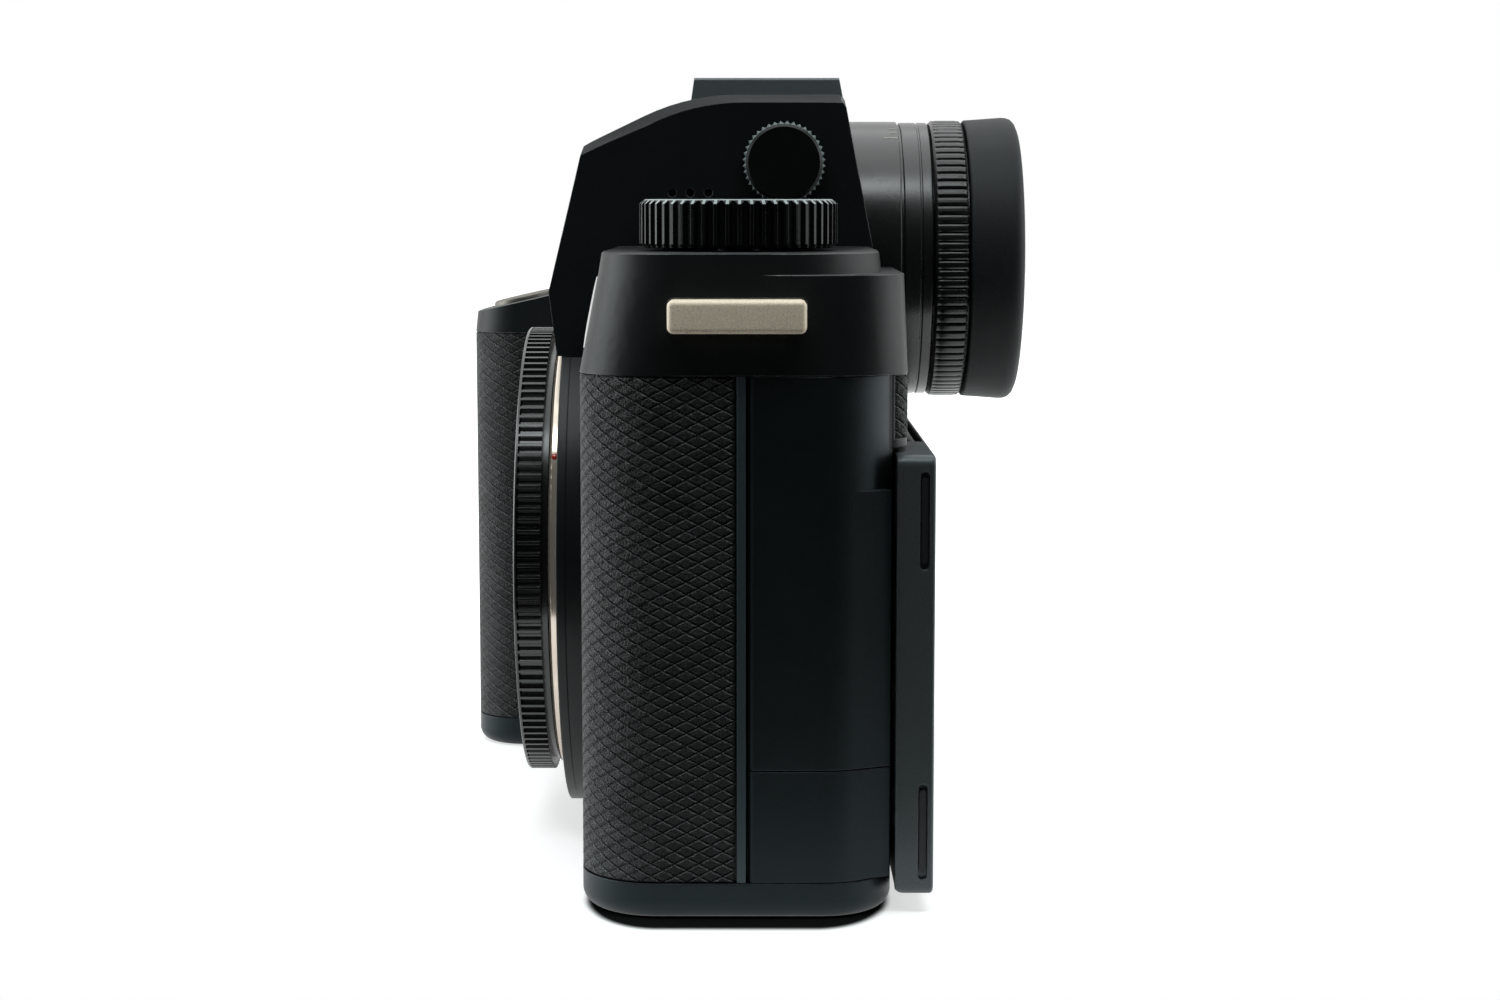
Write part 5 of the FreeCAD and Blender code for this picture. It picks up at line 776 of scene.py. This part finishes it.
def show_painted_highlight(material, colour):
    """The faces so marked are painted a light colour, a painted highlight."""
    tree = material.node_tree
    marked = attribute(tree, "painted_highlight")
    highlighted = add_node(tree, "Mix", {"data_type": "RGBA"}, _0=marked, _6=tree.nodes["surface"].outputs["Colour"],
                    _7=srgb(*colour))
    tree.links.new(highlighted.outputs[2], tree.nodes["Principled BSDF"].inputs["Base Color"])


knob_teeth = 40
knob_centre = Vector((22.5, 4.7, 95.9))
knob = turned("knob", [
    (0, -3.8), (2.0, -3.8), (2.0, 0.2), (5.1, 0.2), (5.1, 0.6), (5.5, 0.7), (5.75, 1.0), (5.75, 1.6),
    (5.32, 2.15),
    (5.02, 2.5), (4.95, 2.6), (0, 2.6)], knob_teeth * 2, (1, 0, 0), knob_centre)
tooth_step = pi / knob_teeth


def between_teeth(at, middle, flat, tooth):
    """True at every second of the steps round a wheel whose plane is given by two axes."""
    across, up = flat
    return round((atan2(at[up] - middle[up], at[across] - middle[across]) + 4 * pi) / tooth) % 2 == 0


knob_middle = knob_centre * 0.001
pick(knob, lambda at, normal: between_teeth(at, knob_middle, (1, 2), tooth_step)
     and hypot(at.y - knob_middle.y, at.z - knob_middle.z) > 0.0056, "VERT")
bpy.ops.transform.resize(value=(1, 0.925, 0.925), center_override=knob_middle)
smoothed(20)
knob_black = finish("knob_black", (5, 6, 6), (60, 60, 60), 0.3, 0.40, 0.18, 0.010, 0.08, shine=0.25)
# The rim's outward chamfer and the teeth get a painted highlight.
painted_highlight(knob, lambda at, normal: (
    normal.x > 0.1 and hypot(at.y - knob_middle.y, at.z - knob_middle.z) > 0.0053))
show_painted_highlight(knob_black, (128, 138, 138))
fit(knob, knob_black, "side_knob", "dark_metal", "side_knob")


# Dials ----------------------------------------------------------------------
# Three turned aluminium dials on the decks, black anodised, with V-grooved rims and white painted numbers.
# The upward bevels along the ridges carry a painted highlight, and a lever lies round the foot of the
# smallest dial.

dial_black = finish("dial_black", (5, 6, 7), (130, 132, 130), 0.35, 0.28, 0.16, 0.008, 0.06, shine=0.27)
# Upward bevels of the dial rims are painted light, a painted highlight.
show_painted_highlight(dial_black, (168, 178, 178))
number_paint = finish("number_paint", (196, 196, 190), (150, 150, 146), 0.3, 0.5, 0.1, 0.004, 0.03)


def make_dial(name, node, x, y, foot, radius, tall, grooves, shaft, deep):
    """A dial on its shaft: a turned blank with V-shaped grooves at two of every four steps of its rim."""
    dial = turned(name, [
        (0, -shaft), (3.0, -shaft), (3.0, 0.3), (radius - 0.8, 0.3), (radius - 0.55, 0.45), (radius, 0.9),
        (radius, tall - 0.6), (radius - 0.55, tall - 0.12), (radius - 0.75, tall), (radius - 1.4, tall),
        (radius - 1.6, tall - 0.2), (0, tall - 0.2)], grooves * 4, (0, 0, 1), (x, y, foot))
    middle = Vector((x, y, foot)) * 0.001
    step = pi / grooves / 2

    def in_rim(at, places, floor):
        turn = round((atan2(at.y - middle.y, at.x - middle.x) + 4 * pi) / step) % 4
        outside = hypot(at.x - middle.x, at.y - middle.y) > (radius - 0.1) * 0.001
        return turn in places and outside and at.z > (foot + floor) * 0.001

    pick(dial, lambda at, normal: in_rim(at, (2, 3), tall - 1.0), "VERT")
    bpy.ops.transform.translate(value=(0, 0, deep * 0.00085))
    pick(dial, lambda at, normal: in_rim(at, (2, 3), 0.5), "VERT")
    inwards = 1 - deep / radius
    bpy.ops.transform.resize(value=(inwards, inwards, 1), center_override=middle)
    smoothed(20)

    def on_edge(at, normal):
        turn = (atan2(at.y - middle.y, at.x - middle.x) + 4 * pi) / step % 4
        from_axis = hypot(at.x - middle.x, at.y - middle.y) * 1000
        outside = normal.x * (at.x - middle.x) + normal.y * (at.y - middle.y) > 0
        near_rim = from_axis > radius - 0.8 and (turn < 1.05 or from_axis < radius - 0.56)
        return 0.3 < normal.z < 0.99 and outside and near_rim

    # These upward-facing bevels get the painted highlight.
    painted_highlight(dial, on_edge)
    fit(dial, dial_black, node, "dark_metal", node)
    return foot + tall - 0.2


def number_ring(name, body, words, x, y, level, radius, tall, first=90.0, spread=360.0):
    """Painted numbers round the top of a dial, read from outside, with a short stroke under each."""
    marks = []
    for i, word in enumerate(words):
        angle = radians(first - spread * i / len(words))
        bpy.ops.object.text_add(location=(0, 0, 0))
        mark = bpy.context.object
        mark.data.body = word
        mark.data.size = tall * 0.0014
        mark.data.align_x = "CENTER"
        mark.data.align_y = "CENTER"
        mark.data.resolution_u = 3
        mark.data.extrude = 0.00003
        bpy.ops.object.convert(target="MESH")
        mark.rotation_euler = (0, 0, angle - pi / 2)
        mark.location = Vector((x + cos(angle) * radius, y + sin(angle) * radius, level + 0.02)) * 0.001
        marks.append(mark)
        bpy.ops.mesh.primitive_cube_add(size=1, location=(0, 0, 0))
        tick = bpy.context.object
        tick.scale = (0.0002, 0.0008, 0.00006)
        tick.rotation_euler = (0, 0, angle - pi / 2)
        tick.location = Vector((x + cos(angle) * (radius + tall * 0.95),
                                y + sin(angle) * (radius + tall * 0.95), level + 0.02)) * 0.001
        marks.append(tick)
    for mark in marks:
        mark.select_set(True)
    bpy.context.view_layer.objects.active = marks[0]
    bpy.ops.object.transform_apply(location=True, rotation=True, scale=True)
    bpy.ops.object.join()
    ring = bpy.context.object
    ring.name = name
    fit(ring, number_paint, body, "dark_metal")
    return ring


level = make_dial("socket_dial", "dial_socket_side", 45.5, -1.5, 84.3, 12.9, 6.6, 52, 5.4, 0.5)
number_ring("socket_dial_numbers", "dial_socket_side",
            ["1", "2", "4", "8", "15", "30", "60", "125", "250", "500", "1000", "2000"], 45.5, -1.5, level,
            8.4, 1.5)
level = make_dial("thumb_dial", "dial_thumb", -57.5, 6.0, 81.5, 9.5, 5.2, 40, 2.6, 0.45)
number_ring("thumb_dial_numbers", "dial_thumb", ["0", "1", "2", "3", "2", "1"], -57.5, 6.0, level, 5.6, 1.5)
level = make_dial("program_dial", "mode_dial", -36.5, 1.5, 81.5, 8.6, 5.6, 36, 2.6, 0.45)
number_ring("program_dial_numbers", "mode_dial", ["A", "S", "M", "P", "1", "2", "3"], -36.5, 1.5, level, 4.9,
            1.5)
dress(dial_black, "power_lever", "front_wheel", "rear_dial")


# Keys and shutter button ----------------------------------------------------
# Round pushbuttons of black plastic, and the shutter button, turned from bright anodised aluminium.
# Its dished face shows the rings left by the lathe.

key_black = finish("key_black", (18, 20, 21), (70, 70, 70), 0.4, 0.42, 0.2, 0.01, 0.2)
dress(key_black, "deck_key_1", "deck_key_2", "deck_key_3", "back_key_1", "back_key_2", "back_key_3")
lean = radians(13)
press_axis = Vector((0, -sin(lean), cos(lean)))
grip_slope_z = 72.3 + (-38.2 + 45.75) * sin(lean) / cos(lean)
shutter_centre = Vector((-56.5, -38.2, grip_slope_z))
release_cap = turned("shutter_cap", [
    (0, -6.8), (1.5, -6.8), (1.5, -1.15), (4.8, -1.15), (5.0, -1.0), (5.05, -0.6), (5.05, 0.35), (4.95, 0.6),
    (4.6, 0.82), (4.1, 0.86),
    (3.4, 0.74), (2.2, 0.58), (0, 0.5)], 96, press_axis, shutter_centre)
shutter_metal = finish("shutter_metal", (112, 108, 102), (180, 176, 168), 0.5, 0.42, 0.12, 0.004, 0.2, 0.8)


def lathe_marks(material, centre, lean, axis, fineness, wander, height):
    """Fine rings round an axis, as a lathe leaves them."""
    tree = material.node_tree
    place = add_node(tree, "TexCoord").outputs["Object"]
    place = add_node(tree, "Mapping", {"vector_type": "TEXTURE"}, Vector=place,
                     Location=tuple(Vector(centre) * 0.001),
                     Rotation=(lean, 0, 0)).outputs[0]
    rings = add_node(tree, "TexWave", {"wave_type": "RINGS", "rings_direction": axis}, Vector=place,
                     Scale=fineness,
                     Distortion=wander).outputs["Fac"]
    tree.links.new(maths(tree, "MULTIPLY", rings, height), tree.nodes["surface"].inputs["Height"])


lathe_marks(shutter_metal, shutter_centre, lean, "Z", 1100.0, 0.4, 0.006)
fit(release_cap, shutter_metal, "shutter_button", "button_metal", "shutter_button")
dress(key_black, "joystick_ring")
stick_rubber = finish("stick_rubber", (20, 21, 22), (36, 36, 36), 0.2, 0.75, 0.25, 0.03, 0.2, shine=0.3)
dress(stick_rubber, "joystick")


# Strap lugs -----------------------------------------------------------------
# Bars of nickel-plated steel let into the top cover, one at each end, bowed out far enough for a strap.
# Blasted, then softly rounded, so that their edges shine and their faces stay dull.

lug_nickel = finish("lug_nickel", (252, 236, 210), (255, 248, 232), 0.6, 0.44, 0.20, 0.014, 0.30, 0.05)


def taller_below(x, y, z):
    """The bar hangs a little below its seat."""
    return x, y, z - 0.25 if z < 75.6 else z


for side in ("socket_side", "grip_side"):
    lug = reshaped("lug_" + side, "strap_lug_" + side, taller_below)
    pick(lug, lambda centre, normal: True)
    bpy.ops.mesh.dissolve_limited(angle_limit=radians(1))
    bpy.ops.object.mode_set(mode="OBJECT")
    apply_modifier(lug, "BEVEL", width=0.00055, segments=4, limit_method="ANGLE", angle_limit=radians(50))
    smoothed(60)
    fit(lug, lug_nickel, "camera", "lug_metal", "strap_lug_" + side)


# Lens mount -----------------------------------------------------------------
# A polished stainless bayonet ring held by six screws, a spring lock pin with its round release button,
# and a red enamel dot on the rim where a lens is lined up. A ribbed black cap closes it.

mirror_steel = finish("mirror_steel", (232, 218, 204), (240, 230, 218), 0.3, 0.16, 0.06, 0.001, 0.15, 0.7)
lens_centre = (0, 0, lens_z)
lathe_marks(mirror_steel, lens_centre, 0, "Y", 900.0, 0.3, 0.0015)
dress(mirror_steel, "mount_ring", "lens_lock_pin")
tower_rim = turned("tower_rim", [
    (36.0, -26.35), (37.22, -26.35), (37.32, -26.25), (37.32, -25.0), (36.4, -25.0), (36.0, -26.35)], 180,
    back, lens_centre)
fit(tower_rim, casting_paint, "camera", "body_paint")

dot_turn = radians(30.6)
dot_place = Vector((cos(dot_turn) * 31.9, -27.05, lens_z + sin(dot_turn) * 31.9))
index_dot = turned("index_dot", [(0, 0.3), (0.3, 0.29), (0.42, 0.22), (0.5, 0.1), (0.5, -0.3)], 20,
                   (cos(dot_turn), 0, sin(dot_turn)), dot_place)
index_red = finish("index_red", (196, 44, 26), (214, 90, 70), 0.3, 0.3, 0.1, 0.003, 0.1, Coat_Weight=0.6)
fit(index_dot, index_red, "camera", "body_paint")

screw_steel = finish("screw_steel", (60, 60, 60), (140, 140, 138), 0.6, 0.3, 0.1, 0.004, 0.1, 1.0)
dress(screw_steel, "mount_screws")
dress(key_black, "lens_release_button")
cap_ribs = 132
ribbed_cap = turned("ribbed_cap", [
    (0, -32.15), (29.0, -32.15), (29.4, -32.55), (32.3, -32.55), (32.72, -32.5), (32.85, -32.35),
    (32.85, -32.12), (32.85, -31.95),
    (32.85, -28.8), (31.2, -28.8), (31.2, -27.95), (24.6, -27.95), (24.6, -26.3), (26.6, -26.3),
    (26.6, -25.25), (24.6, -25.25),
    (24.6, -24.85), (22.8, -24.85), (22.8, -29.4), (0, -29.4)], cap_ribs * 4, back, lens_centre)
cap_middle = Vector(lens_centre) * 0.001


def in_cap_groove(at, normal):
    """True at two of every four steps round the rim, behind the plain edge of the cap's face."""
    turn = round((atan2(at.z - cap_middle.z, at.x) + 4 * pi) / (2 * pi / (cap_ribs * 4))) % 4
    return turn > 1 and hypot(at.x, at.z - cap_middle.z) > 0.0328 and at.y > -0.032


pick(ribbed_cap, in_cap_groove, "VERT")
bpy.ops.transform.resize(value=(0.9805, 1, 0.9805), center_override=cap_middle)
smoothed(25)
cap_black = finish("cap_black", (9, 11, 12), (90, 96, 98), 0.15, 0.24, 0.25, 0.006, 0.08, shine=0.70)
fit(ribbed_cap, cap_black, "body_cap", "cap_plastic", "body_cap")


# Doors ----------------------------------------------------------------------
# Two moulded doors cover the sockets and wrap the back corner, with a finger lip where they are pulled.
# A plain door on the grip side covers the card slots.

door_black = finish("door_black", (13, 17, 18), (84, 90, 92), 0.35, 0.48, 0.22, 0.018, 0.2, shine=0.30,
                    Specular_Tint=cold_sheen)
dress(door_black, "door_upper", "card_door")


def lip_to_base(x, y, z):
    """The finger lip reaches down to just above the base plate."""
    return x, y, 4.95 if abs(z - 6.3) < 0.03 else z


lower_door = reshaped("lower_door", "door_lower", lip_to_base)
fit(lower_door, door_black, "door_lower", "door_plastic", "door_lower")
dress(inside_black, "port_sockets", "card_slots")


# Screen ---------------------------------------------------------------------
# A display in a thin satin black housing that swings out on a steel arm with two hinges.
# Its side has two slots with rubber strips, and its glass is bonded flush.

screen_black = finish("screen_black", (66, 71, 72), (110, 116, 118), 0.25, 0.34, 0.2, 0.012, 0.2, shine=0.5,
                      Specular_Tint=(0.9, 1.0, 1.03, 1))


def crisp_inner_edge(x, y, z):
    """The edge next to the body keeps a fifth of its round, but for its foot, which passes the base."""
    if not 18.49 < y < 19.58:
        return x, y, z
    inset = 1.1 - (1.1 ** 2 - (19.6 - y) ** 2) ** 0.5 if 19.6 - y < 1.1 else 1.1
    half_x, half_z = (62.0 + 16.0) / 2, (59.0 - 2.5) / 2
    from_middle = Vector((x - 23.0, z - 30.75))
    past = Vector((abs(from_middle.x) - half_x + 1.5, abs(from_middle.y) - half_z + 1.5))
    if past.x > 0 and past.y > 0:
        way, beyond = past.normalized(), past.length - 1.5
    else:
        way = Vector((1, 0)) if past.x > past.y else Vector((0, 1))
        beyond = max(past) - 1.5
    if abs(beyond + inset) > 0.1:
        return x, y, z
    if from_middle.y < 0:
        inset *= way.x
    way = Vector((way.x if from_middle.x > 0 else -way.x, way.y if from_middle.y > 0
                  else -way.y)) * inset * 0.8
    return x + way.x, y, z + way.y


housing = reshaped("housing", "screen_housing", crisp_inner_edge)
fit(housing, screen_black, "screen", "screen_plastic", "screen_housing")
display_glass = finish("display_glass", (7, 8, 10), (20, 20, 22), 0.0, 0.05, 0.3, 0.0, 0.1, shine=0.6)
dress(display_glass, "screen_glass")
strip_rubber = finish("strip_rubber", (20, 24, 26), (44, 46, 48), 0.3, 0.55, 0.2, 0.01, 0.1)
dress(strip_rubber, "screen_strips")
arm_steel = finish("arm_steel", (70, 70, 72), (150, 150, 148), 0.5, 0.35, 0.12, 0.006, 0.15, 1.0)
dress(arm_steel, "screen_arm")


# Battery and the parts inside -----------------------------------------------
# The battery carries its own cover in the base and slides out past a small lever.
# Behind the mount are the shutter's three black leaves, the sensor under its filter and the steel chassis.

battery_black = finish("battery_black", (24, 26, 27), (60, 62, 62), 0.4, 0.5, 0.22, 0.014, 0.25)
dress(battery_black, "battery", "battery_bay")
dress(dial_black, "battery_lever")
dress(socket_steel, "chassis_plate")
dress(inside_black, "shutter_frame")
leaf_black = finish("leaf_black", (26, 26, 27), (60, 60, 60), 0.2, 0.42, 0.12, 0.004, 0.05, shine=0.5)
dress(leaf_black, "shutter_leaf_1", "shutter_leaf_2", "shutter_leaf_3")
filter_glass = finish("filter_glass", (40, 30, 52), (40, 30, 52), 0.0, 0.04, 0.3, 0.0, 0.05, shine=0.7,
                      Coat_Weight=1.0, Coat_Roughness=0.02)
dress(filter_glass, "image_sensor")
